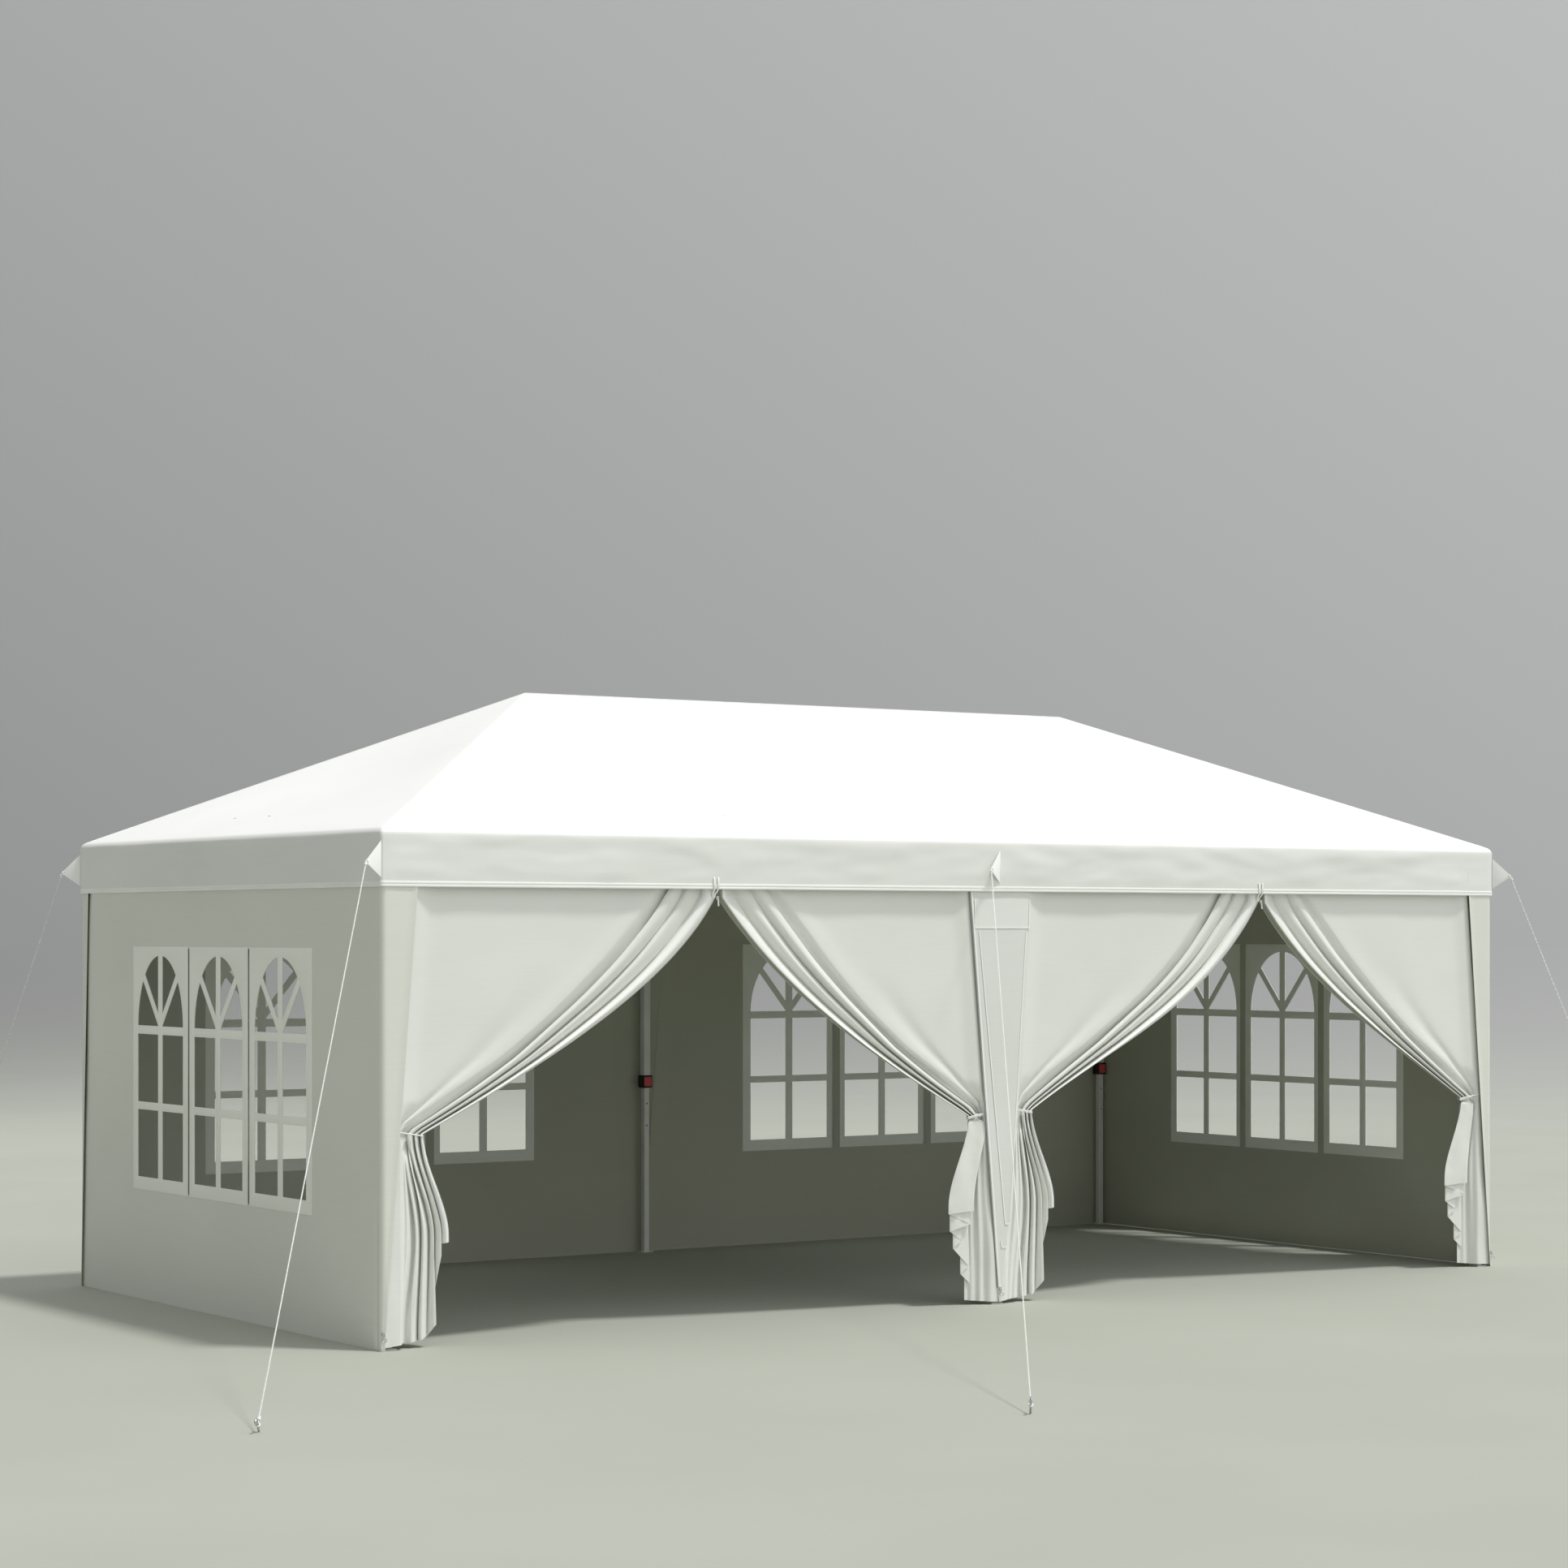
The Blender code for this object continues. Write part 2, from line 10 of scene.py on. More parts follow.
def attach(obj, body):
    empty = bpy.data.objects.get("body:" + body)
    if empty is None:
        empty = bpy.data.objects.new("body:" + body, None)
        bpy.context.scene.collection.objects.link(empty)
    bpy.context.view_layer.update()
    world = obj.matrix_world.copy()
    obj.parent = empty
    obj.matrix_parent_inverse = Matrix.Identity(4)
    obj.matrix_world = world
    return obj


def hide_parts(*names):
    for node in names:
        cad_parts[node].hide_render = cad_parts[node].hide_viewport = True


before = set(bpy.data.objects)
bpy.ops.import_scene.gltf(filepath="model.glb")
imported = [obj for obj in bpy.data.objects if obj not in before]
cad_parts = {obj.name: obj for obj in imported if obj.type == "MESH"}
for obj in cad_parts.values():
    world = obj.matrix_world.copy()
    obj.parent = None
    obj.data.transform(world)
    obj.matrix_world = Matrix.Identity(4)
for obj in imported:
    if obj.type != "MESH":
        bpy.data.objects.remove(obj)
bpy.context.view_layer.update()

# Sizes that the looks share with the frame, in metres. X runs along the tent, -Y is its front.
LENGTH = 5.90
WIDTH = 2.92
VALANCE_BOTTOM = 1.757
EAVE_HEIGHT = 1.976
RIDGE_HEIGHT = 2.630
EAVE_RADIUS = 0.035
LEG_INSET = 0.050
WALL_BOTTOM = 0.010
WALL_TOP = 1.900
STRIP_FOOT = 0.013
FRONT_STRIP_HEAD = 0.165
BACK_STRIP_HEAD = 0.098
MIDDLE_STRIP_HEAD = 0.178
COLLAR_BOTTOM = 0.815
COLLAR_HEIGHT = 0.060
COLLAR_HALF = 0.0275        # from a leg's centre to its collar's face

HALF_X = LENGTH / 2
HALF_Y = WIDTH / 2
PEAK_X = HALF_X - HALF_Y
PITCH = math.atan2(RIDGE_HEIGHT - EAVE_HEIGHT, HALF_Y)
LEG_X = HALF_X - LEG_INSET
LEG_Y = HALF_Y - LEG_INSET

CLOTH_THICKNESS = 0.0010
WALL_FOOT = 0.0003          # where the walls' cloth ends, at the ground
WALL_FACE = 0.0045          # from the valance's outer face to a wall's or a strip's
CORNER_RADIUS = 0.022       # how softly a wall turns the corner round a leg
STRIP_LAP = 0.012           # how far a wall or a curtain reaches behind the strip beside it

ALONG = Vector((1, 0, 0))
FRONT = Vector((0, -1, 0))
UP = Vector((0, 0, 1))


# Materials
WEAVE_PERIOD = 0.0016
WAVE_UNIT = 0.314           # a Wave Texture of scale 1 repeats every 0.314 units
TINT_SPAN = (0.3, 0.7)      # noise values between which a colour goes from low to high
CLOTH_SHINE = 0.35


def new_material(name, colour, roughness, metallic=0.0):
    made = bpy.data.materials.new(name)
    made.use_nodes = True
    shader = made.node_tree.nodes["Principled BSDF"]
    shader.inputs["Base Color"].default_value = (*colour, 1.0)
    shader.inputs["Roughness"].default_value = roughness
    shader.inputs["Metallic"].default_value = metallic
    return made, made.node_tree, shader


def texture(tree, kind, scale, coordinate="Object", **values):
    """A texture node on object or UV coordinates, stretched by scale."""
    place = tree.nodes.new("ShaderNodeTexCoord")
    stretch = tree.nodes.new("ShaderNodeMapping")
    stretch.inputs["Scale"].default_value = scale
    tree.links.new(place.outputs[coordinate], stretch.inputs["Vector"])
    made = tree.nodes.new(kind)
    tree.links.new(stretch.outputs["Vector"], made.inputs["Vector"])
    for key, value in values.items():
        made.inputs[key].default_value = value
    return made


def grain(tree, scale, detail):
    """Noise with about scale grains a metre along X, Y and Z."""
    return texture(tree, "ShaderNodeTexNoise", scale, Scale=1.0, Detail=detail).outputs["Fac"]


def bands(tree, scale, period, direction, coordinate="Object"):
    """Stripes that repeat every period along the axes whose scale isn't zero."""
    made = texture(tree, "ShaderNodeTexWave", scale, coordinate, Scale=WAVE_UNIT / period)
    made.bands_direction = direction
    return made.outputs["Fac"]


def tint(tree, shader, source, low, high):
    """Base colour from low to high, as the source goes through TINT_SPAN."""
    ramp = tree.nodes.new("ShaderNodeValToRGB")
    for stop, place, colour in zip(ramp.color_ramp.elements, TINT_SPAN, (low, high)):
        stop.position = place
        stop.color = (*colour, 1.0)
    tree.links.new(source, ramp.inputs["Fac"])
    tree.links.new(ramp.outputs["Color"], shader.inputs["Base Color"])


def vary_roughness(tree, shader, source, low, high):
    span = tree.nodes.new("ShaderNodeMapRange")
    span.inputs["To Min"].default_value = low
    span.inputs["To Max"].default_value = high
    tree.links.new(source, span.inputs["Value"])
    tree.links.new(span.outputs["Result"], shader.inputs["Roughness"])


def bump(tree, shader, source, strength, distance, under=None):
    made = tree.nodes.new("ShaderNodeBump")
    made.inputs["Strength"].default_value = strength
    made.inputs["Distance"].default_value = distance
    tree.links.new(source, made.inputs["Height"])
    if under:
        tree.links.new(under.outputs["Normal"], made.inputs["Normal"])
    tree.links.new(made.outputs["Normal"], shader.inputs["Normal"])
    return made


def cloth_material(name, low, high, slub=0.35):
    """Coated woven polyester: a fine weave, faint level slubs and soft blotches."""
    made, tree, shader = new_material(name, high, 0.72)
    shader.inputs["Sheen Weight"].default_value = 0.08
    shader.inputs["Sheen Roughness"].default_value = 0.5
    shader.inputs["Specular IOR Level"].default_value = CLOTH_SHINE
    blotch = grain(tree, (1.3, 1.3, 2.2), 5.0)
    slubs = grain(tree, (5.0, 5.0, 260.0), 3.0)
    both = tree.nodes.new("ShaderNodeMix")
    both.inputs["Factor"].default_value = slub
    tree.links.new(blotch, both.inputs["A"])
    tree.links.new(slubs, both.inputs["B"])
    tint(tree, shader, both.outputs["Result"], low, high)
    vary_roughness(tree, shader, blotch, 0.62, 0.82)
    threads = tree.nodes.new("ShaderNodeMath")
    threads.operation = "MAXIMUM"
    tree.links.new(bands(tree, (1.0, 1.0, 0.0), WEAVE_PERIOD, "DIAGONAL"), threads.inputs[0])
    tree.links.new(bands(tree, (0.0, 0.0, 1.0), WEAVE_PERIOD, "Z"), threads.inputs[1])
    weave = bump(tree, shader, threads.outputs[0], 0.16, 0.0003)
    bump(tree, shader, slubs, 0.10, 0.0008, under=weave)
    return made


def stitched_material(name, low, high, pitch=0.0045):
    """Folded hems and tapes: their UV runs along them in metres, and stitches follow it."""
    made, tree, shader = new_material(name, high, 0.7)
    shader.inputs["Specular IOR Level"].default_value = CLOTH_SHINE
    tint(tree, shader, grain(tree, (4.0, 4.0, 4.0), 4.0), low, high)
    stitches = bump(tree, shader, bands(tree, (1.0, 0.0, 0.0), pitch, "X", "UV"), 0.35, 0.0004)
    bump(tree, shader, grain(tree, (900.0, 900.0, 900.0), 1.0), 0.15, 0.0003, under=stitches)
    return made


def hard_material(name, low, high, roughness, metallic=0.0, fineness=600.0):
    """Paint, plating or plastic: soft clouds of tone and a fine speckle."""
    made, tree, shader = new_material(name, high, roughness, metallic)
    cloud = grain(tree, (9.0, 9.0, 9.0), 5.0)
    tint(tree, shader, cloud, low, high)
    vary_roughness(tree, shader, cloud, roughness * 0.8, roughness * 1.2)
    bump(tree, shader, grain(tree, (fineness, fineness, fineness), 2.0), 0.08, 0.0004)
    return made


def vinyl_material():
    made, tree, shader = new_material("clear_vinyl_film", (0.66, 0.72, 0.66), 0.06)
    shader.inputs["Alpha"].default_value = 0.07
    bump(tree, shader, grain(tree, (3.0, 3.0, 5.0), 2.0), 0.25, 0.01)
    return made


def rope_material():
    made, tree, shader = new_material("guy_rope_fibre", (0.92, 0.92, 0.90), 0.75)
    fibre = grain(tree, (500.0, 500.0, 60.0), 2.0)
    tint(tree, shader, fibre, (0.84, 0.84, 0.81), (0.95, 0.95, 0.93))
    bump(tree, shader, fibre, 0.3, 0.0005)
    return made


# The roof cloth is a brighter copy of the valance's fabric: painted light on the roof and the tabs.
ROOF_LIGHT_CLOTH = cloth_material("lit_roof_fabric", (0.91, 0.915, 0.90), (0.95, 0.955, 0.94), 0.2)
VALANCE_CLOTH = cloth_material("valance_cloth", (0.79, 0.80, 0.765), (0.845, 0.855, 0.825), 0.2)
# Painted shade: a darker, greenish copy of the white cloth for inner faces, the window gap backing
# and the right curtains' turned edges
SHADED_INNER_CLOTH = cloth_material("shaded_inner_fabric", (0.455, 0.465, 0.385), (0.50, 0.51, 0.43))
CURTAIN_CLOTH = cloth_material("curtain_cloth", (0.775, 0.785, 0.745), (0.825, 0.835, 0.80))
# The wall cloth is a darker, greenish copy of the white fabric: painted shade and bounced green
# light.
WALL_SHADE_CLOTH = cloth_material("wall_cloth", (0.715, 0.735, 0.67), (0.765, 0.785, 0.72))
STRIP_CLOTH = cloth_material("strip_cloth", (0.735, 0.745, 0.71), (0.785, 0.795, 0.765))
FRAME_VINYL = cloth_material("window_frame_vinyl", (0.90, 0.92, 0.85), (0.94, 0.96, 0.90), 0.1)
HEM_CLOTH = stitched_material("stitched_hem", (0.89, 0.90, 0.87), (0.95, 0.96, 0.93))
ROOF_SEAM = stitched_material("roof_seam", (0.87, 0.875, 0.855), (0.91, 0.915, 0.895), 0.006)
# Dark grey with stitches: painted shade in the roof drains' slits, and the front strip's zip coil,
# whose darkness also paints the shadow beside it.
COIL_AND_SLIT_SHADE = stitched_material("dark_coil_and_slit_shade", (0.20, 0.20, 0.19), (0.32, 0.32, 0.31), 0.002)
ZIP_TAPE = stitched_material("zip_tape", (0.90, 0.90, 0.88), (0.95, 0.95, 0.93), 0.0026)
ZIP_COIL = stitched_material("zip_coil", (0.60, 0.61, 0.59), (0.76, 0.77, 0.75), 0.0022)
WHITE_STEEL = hard_material("white_painted_steel", (0.74, 0.745, 0.72), (0.82, 0.825, 0.80), 0.38)
GALVANISED = hard_material("galvanised_wire", (0.45, 0.46, 0.47), (0.62, 0.63, 0.64), 0.34, 1.0)
NICKEL = hard_material("nickel_plate", (0.48, 0.48, 0.46), (0.66, 0.66, 0.64), 0.25, 1.0)
BLACK_PLASTIC = hard_material("black_plastic", (0.004, 0.004, 0.004), (0.009, 0.009, 0.008),
                              0.60, fineness=1400.0)
RED_PLASTIC = hard_material("red_plastic", (0.58, 0.060, 0.070), (0.74, 0.085, 0.095),
                            0.45, fineness=1400.0)
ROPE = rope_material()
VINYL = vinyl_material()


# Mesh helpers
CLOTH_CREASE = 50           # degrees from which an edge stays sharp, by kind of piece
TUBE_CREASE = 55
PLATE_CREASE = 35
JOINED_CREASE = 45
HOUSING_CREASE = 40


def finished(piece, finish, stands_for=()):
    """Gives a piece its material, its body and the nodes that it stands for."""
    if not piece.data.materials:
        piece.data.materials.append(finish)
    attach(piece, "tent")
    if stands_for:
        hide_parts(*stands_for)
    return piece


def new_object(name, data):
    made = bpy.data.objects.new(name, data)
    bpy.context.scene.collection.objects.link(made)
    return made


def grid(name, rows, keep=None, uv=None, closed=False):
    """A sheet of quads through rows of points. keep[row][column] leaves a quad out where false."""
    rows = np.asarray(rows, float)
    deep, wide = rows.shape[:2]
    last = wide if closed else wide - 1
    quads = []
    for row in range(deep - 1):
        for column in range(last):
            if keep is not None and not keep[row][column]:
                continue
            after = (column + 1) % wide
            quads.append((row * wide + column, row * wide + after,
                          (row + 1) * wide + after, (row + 1) * wide + column))
    mesh = bpy.data.meshes.new(name)
    mesh.from_pydata(rows.reshape(-1, 3).tolist(), [], quads)
    if uv is not None:
        flat = np.asarray(uv, float).reshape(-1, 2)
        layer = mesh.uv_layers.new(name="UVMap")
        index = np.zeros(len(mesh.loops), int)
        mesh.loops.foreach_get("vertex_index", index)
        layer.data.foreach_set("uv", flat[index].ravel())
    mesh.shade_smooth()
    return new_object(name, mesh)


def keep_sharp(mesh, crease):
    """Keeps edges over crease degrees sharp."""
    mesh.set_sharp_from_angle(angle=math.radians(crease))


def tidied(piece, merge):
    """Joins points that lie within merge of each other and drops loose ones."""
    work = bmesh.new()
    work.from_mesh(piece.data)
    bmesh.ops.remove_doubles(work, verts=work.verts, dist=merge)
    bmesh.ops.delete(work, geom=[v for v in work.verts if not v.link_faces], context="VERTS")
    work.to_mesh(piece.data)
    work.free()
    piece.data.shade_smooth()
    return piece


def thickened(piece, finishes, shaded_inner=None, thickness=CLOTH_THICKNESS, side=-1.0):
    """Gives a sheet two faces and a rim. side -1 puts the new face behind the old one;
    shaded_inner, if given, paints shade on the new face.
    """
    step = piece.modifiers.new("thickness", "SOLIDIFY")
    step.thickness = thickness
    step.offset = side
    if shaded_inner:
        step.material_offset = len(finishes)
        finishes = finishes + [shaded_inner] * len(finishes)
    for cloth in finishes:
        piece.data.materials.append(cloth)
    shown = piece.evaluated_get(bpy.context.evaluated_depsgraph_get())
    mesh = bpy.data.meshes.new_from_object(shown)
    piece.modifiers.clear()
    piece.data = mesh
    keep_sharp(mesh, CLOTH_CREASE)


def path_ways(path, closed):
    """The direction of a path at each of its points."""
    last = len(path) - 1
    ways = []
    for index in range(len(path)):
        before = path[index - 1] if closed or index else path[0]
        after = path[(index + 1) % len(path)] if closed or index < last else path[-1]
        ways.append((after - before).normalized())
    return ways


def close_ends(mesh, sides):
    """Puts a face over the first and the last ring of a tube."""
    work = bmesh.new()
    work.from_mesh(mesh)
    work.verts.ensure_lookup_table()
    start = len(work.verts) - sides
    work.faces.new([work.verts[i] for i in range(sides)])
    work.faces.new([work.verts[start + i] for i in reversed(range(sides))])
    work.to_mesh(mesh)
    work.free()
    mesh.shade_smooth()


def section_ways(ways, up, turns):
    """The (across, upward) ways of a section at each point of a path."""
    across = ways[0].cross(up)
    if across.length < 0.1:
        across = ways[0].cross(ALONG)
    across.normalize()
    pairs = []
    for index, way in enumerate(ways):
        across = (across - way * across.dot(way)).normalized()
        upward = across.cross(way)
        turn = turns * 2 * math.pi * index / max(len(ways) - 1, 1)
        pairs.append((across * math.cos(turn) + upward * math.sin(turn),
                      upward * math.cos(turn) - across * math.sin(turn)))
    return pairs


def swept(name, path, section, closed=False, up=UP, turns=0.0):
    """A section of (across, upward) points carried along a path, turning as it goes."""
    path = [Vector(point) for point in path]
    pairs = section_ways(path_ways(path, closed), up, turns)
    rows = [[point + side * a + rise * b for a, b in section]
            for point, (side, rise) in zip(path, pairs)]
    again = 1 if closed else 0      # a closed path comes back to its first ring
    lengths = [0.0]
    for before, after in zip(path, path[1:] + path[:again]):
        lengths.append(lengths[-1] + (after - before).length)
    coordinates = [[(length, number / len(section)) for number in range(len(section))]
                   for length in lengths]
    made = grid(name, rows + rows[:again], uv=coordinates, closed=True)
    if not closed:
        close_ends(made.data, len(section))
    keep_sharp(made.data, TUBE_CREASE)
    return made


def circle(radius, sides=8):
    """A ring of (across, upward) points."""
    return [(radius * math.cos(2 * math.pi * side / sides),
             radius * math.sin(2 * math.pi * side / sides)) for side in range(sides)]


def plate(name, outline, holes, thickness, bevel, matrix):
    """A flat plate of any outline, with holes, lying in the matrix's XY plane."""
    curve = bpy.data.curves.new(name, "CURVE")
    curve.dimensions = "2D"
    curve.fill_mode = "BOTH"
    curve.extrude = thickness / 2 - bevel
    curve.bevel_depth = bevel
    curve.bevel_resolution = 1
    for loop in (outline, *holes):
        spline = curve.splines.new("POLY")
        spline.points.add(len(loop) - 1)
        for point, (x, y) in zip(spline.points, loop):
            point.co = (x, y, 0.0, 1.0)
        spline.use_cyclic_u = True
    maker = new_object(name + "_outline", curve)
    shown = maker.evaluated_get(bpy.context.evaluated_depsgraph_get())
    mesh = bpy.data.meshes.new_from_object(shown)
    bpy.data.objects.remove(maker, do_unlink=True)
    bpy.data.curves.remove(curve)
    mesh.transform(matrix)
    mesh.name = name
    made = tidied(new_object(name, mesh), 1e-6)
    keep_sharp(made.data, PLATE_CREASE)
    return made


def joined(name, pieces):
    """One object out of several, in mesh code."""
    work = bmesh.new()
    for piece in pieces:
        mesh = piece.data
        work.from_mesh(mesh)
        bpy.data.objects.remove(piece, do_unlink=True)
        bpy.data.meshes.remove(mesh)
    mesh = bpy.data.meshes.new(name)
    work.to_mesh(mesh)
    work.free()
    mesh.shade_smooth()
    keep_sharp(mesh, JOINED_CREASE)
    return new_object(name, mesh)


def standing(origin, along, outward):
    """A matrix that stands a plate up: its X runs along, its Y upwards, its Z outwards."""
    along = Vector(along).normalized()
    outward = Vector(outward).normalized()
    upward = outward.cross(along)
    turn = Matrix((along, upward, outward)).transposed().to_4x4()
    return Matrix.Translation(Vector(origin)) @ turn


def ease(low, high, value):
    share = min(max((value - low) / (high - low), 0.0), 1.0)
    return share * share * (3 - 2 * share)


def spaced(*stops):
    """Numbers that run through (value, steps to it) stops."""
    values = [stops[0]]
    for value, steps in stops[1:]:
        start = values[-1]
        values += [start + (value - start) * step / steps for step in range(1, steps + 1)]
    return values


def run_along(row):
    """The distance along a row of points to each of them."""
    return np.r_[0, np.cumsum([math.dist(a, b) for a, b in zip(row, row[1:])])]


def ripple(x, y, z):
    return noise.noise(Vector((x, y, z)))


# Camera, lights and floor
CAMERA_PLACE = (-8.9042, -12.9692, 1.5844)
CAMERA_TURN = 34.098        # degrees clockwise from straight at the front
FOCAL_PIXELS = 4200.78
HORIZON_PIXEL = 1148.63
FRAME_PIXELS = 1932
SENSOR = 36.0
SKY_TINT = (0.99, 1.0, 1.0)
SKY_LEVEL = 0.375           # brightness of the surroundings, level and on average
SKY_SLOPE = (0.200, -0.160, 0.36)   # how it changes towards +X, +Y and up
FLOOR_REACH = 400.0
FLOOR_LEVEL = -0.0003
FLOOR_NEAR = 11.0           # where the floor starts to fade into the backdrop
FLOOR_FAR = 300.0

# Each lamp: its name, the way towards it, its power, its width in degrees and its colour
LAMPS = [
    ("key", (0.233, -0.272, 0.933), 2.05, 6.0, (1.0, 0.99, 0.965)),
    ("fill", (0.45, -0.80, 0.35), 0.36, 70.0, (1.0, 1.0, 1.0)),
]


def make_camera():
    data = bpy.data.cameras.new("camera")
    data.sensor_width = SENSOR
    data.lens = FOCAL_PIXELS * SENSOR / FRAME_PIXELS
    data.shift_y = (HORIZON_PIXEL - FRAME_PIXELS / 2) / FRAME_PIXELS
    data.clip_end = FLOOR_REACH
    camera = new_object("camera", data)
    camera.location = CAMERA_PLACE
    camera.rotation_euler = (math.radians(90), 0.0, -math.radians(CAMERA_TURN))
    bpy.context.scene.camera = camera


def make_lamps():
    for name, way, power, width, colour in LAMPS:
        data = bpy.data.lights.new(name, "SUN")
        data.energy = power
        data.angle = math.radians(width)
        data.color = colour
        lamp = new_object(name, data)
        lamp.rotation_euler = Vector(way).to_track_quat("Z", "Y").to_euler()


def sloped_level(tree, way):
    """The surroundings' brightness in a direction."""
    slope = tree.nodes.new("ShaderNodeVectorMath")
    slope.operation = "DOT_PRODUCT"
    slope.inputs[1].default_value = SKY_SLOPE
    tree.links.new(way, slope.inputs[0])
    level = tree.nodes.new("ShaderNodeMath")
    level.operation = "ADD"
    level.inputs[1].default_value = SKY_LEVEL
    tree.links.new(slope.outputs["Value"], level.inputs[0])
    return level.outputs["Value"]


def make_surroundings():
    """An even studio, brighter to the right and in front of the tent than to its left."""
    world = bpy.data.worlds.new("studio")
    bpy.context.scene.world = world
    world.use_nodes = True
    tree = world.node_tree
    backdrop = tree.nodes["Background"]
    way = tree.nodes.new("ShaderNodeTexCoord")
    backdrop.inputs["Color"].default_value = (*SKY_TINT, 1.0)
    tree.links.new(sloped_level(tree, way.outputs["Generated"]), backdrop.inputs["Strength"])
    bpy.context.scene.view_settings.view_transform = "Standard"


def far_glow(tree, place):
    """What the floor fades into far off: the surroundings as they are level with the ground."""
    way = tree.nodes.new("ShaderNodeVectorMath")
    way.operation = "NORMALIZE"
    tree.links.new(place, way.inputs[0])
    glow = tree.nodes.new("ShaderNodeEmission")
    glow.inputs["Color"].default_value = (*SKY_TINT, 1.0)
    tree.links.new(sloped_level(tree, way.outputs["Vector"]), glow.inputs["Strength"])
    return glow.outputs["Emission"]


def floor_fade(tree, place):
    """0 on the near floor and 1 far off, by 1 / distance."""
    length = tree.nodes.new("ShaderNodeVectorMath")
    length.operation = "LENGTH"
    tree.links.new(place, length.inputs[0])
    nearness = tree.nodes.new("ShaderNodeMath")
    nearness.operation = "DIVIDE"
    nearness.inputs[0].default_value = 1.0
    tree.links.new(length.outputs["Value"], nearness.inputs[1])
    fade = tree.nodes.new("ShaderNodeMapRange")
    fade.interpolation_type = "SMOOTHSTEP"
    fade.inputs["From Min"].default_value = 1 / FLOOR_NEAR
    fade.inputs["From Max"].default_value = 1 / FLOOR_FAR
    tree.links.new(nearness.outputs["Value"], fade.inputs["Value"])
    return fade.outputs["Result"]


def floor_material():
    finish, tree, shader = new_material("pale_floor", (0.42, 0.43, 0.41), 0.85)
    tint(tree, shader, grain(tree, (0.6, 0.6, 0.6), 6.0), (0.40, 0.42, 0.365), (0.425, 0.445, 0.39))
    place = tree.nodes.new("ShaderNodeTexCoord").outputs["Object"]
    mix = tree.nodes.new("ShaderNodeMixShader")
    tree.links.new(floor_fade(tree, place), mix.inputs["Fac"])
    tree.links.new(shader.outputs["BSDF"], mix.inputs[1])
    tree.links.new(far_glow(tree, place), mix.inputs[2])
    tree.links.new(mix.outputs["Shader"], tree.nodes["Material Output"].inputs["Surface"])
    return finish


def make_floor():
    rim = [(x, y, FLOOR_LEVEL) for x, y in circle(FLOOR_REACH, 96)]
    mesh = bpy.data.meshes.new("floor")
    mesh.from_pydata(rim, [], [range(len(rim))])
    mesh.materials.append(floor_material())
    new_object("floor", mesh)


make_camera()
make_lamps()
make_surroundings()
make_floor()


# Canopy: one sheet from the folded hem over the eave to the ridge
LONG_STEPS = 150
SHORT_STEPS = 74
CORNER_STEPS = 4
VALANCE_ROWS = 12
EAVE_ROWS = 7
SLOPE_ROWS = 30
VALANCE_FACE = 0.0013       # the valance's face, behind the folded hem's
HEM_HEIGHT = 0.0205
CORNER_ROUND = 0.012        # radius of the valance's corners; the hips are sharp
SAG = 0.010
WAVE_SIZE = 0.0062          # how far the valance's soft waves stand out


def ring_plan(inset, radius):
    """Points round a rounded rectangle, that far in from the valance's outer face."""
    half_x = HALF_X - inset
    half_y = HALF_Y - inset
    radius = min(radius, half_y)
    points = []
    for side, steps in enumerate((LONG_STEPS, SHORT_STEPS, LONG_STEPS, SHORT_STEPS)):
        turn = math.pi / 2 * side
        reach, depth = (half_x, half_y) if side % 2 == 0 else (half_y, half_x)
        for step in range(steps + 1):
            along = (reach - radius) * (2 * step / steps - 1)
            points.append((along * math.cos(turn) + depth * math.sin(turn),
                           along * math.sin(turn) - depth * math.cos(turn)))
        for step in range(1, CORNER_STEPS):
            angle = turn - math.pi / 2 + math.pi / 2 * step / CORNER_STEPS
            centre = ((reach - radius) * math.cos(turn) + (depth - radius) * math.sin(turn),
                      (reach - radius) * math.sin(turn) - (depth - radius) * math.cos(turn))
            points.append((centre[0] + radius * math.cos(angle),
                           centre[1] + radius * math.sin(angle)))
    return points


def hem_fold():
    """(inset, height) down the fold inside the hem, round its foot and up its face."""
    low = VALANCE_BOTTOM
    return [(0.0034, low + HEM_HEIGHT), (0.0034, low + 0.0016), (0.0026, low + 0.0003),
            (0.0017, low), (0.0008, low + 0.0003), (0.0, low + 0.0014), (0.0, low + 0.0096),
            (0.0006, low + 0.0103), (0.0, low + 0.0110), (0.0, low + HEM_HEIGHT - 0.0010),
            (0.0004, low + HEM_HEIGHT), (VALANCE_FACE, low + HEM_HEIGHT + 0.0008)]


def canopy_profile():
    """(inset, height) from the fold inside the hem up to the ridge."""
    profile = hem_fold()
    turn = math.pi / 2 - PITCH
    bend = EAVE_HEIGHT - EAVE_RADIUS * math.tan(turn / 2)
    first = VALANCE_BOTTOM + HEM_HEIGHT + 0.004
    for step in range(VALANCE_ROWS + 1):
        inset = VALANCE_FACE * (1 - ease(0.7, 1.0, step / VALANCE_ROWS))
        profile.append((inset, first + (bend - first) * step / VALANCE_ROWS))
    for step in range(1, EAVE_ROWS + 1):
        angle = turn * step / EAVE_ROWS
        profile.append((EAVE_RADIUS * (1 - math.cos(angle)), bend + EAVE_RADIUS * math.sin(angle)))
    inset, height = profile[-1]
    for step in range(1, SLOPE_ROWS + 1):
        share = step / SLOPE_ROWS
        profile.append((inset + (HALF_Y - inset) * share,
                        height + (RIDGE_HEIGHT - height) * share))
    return profile


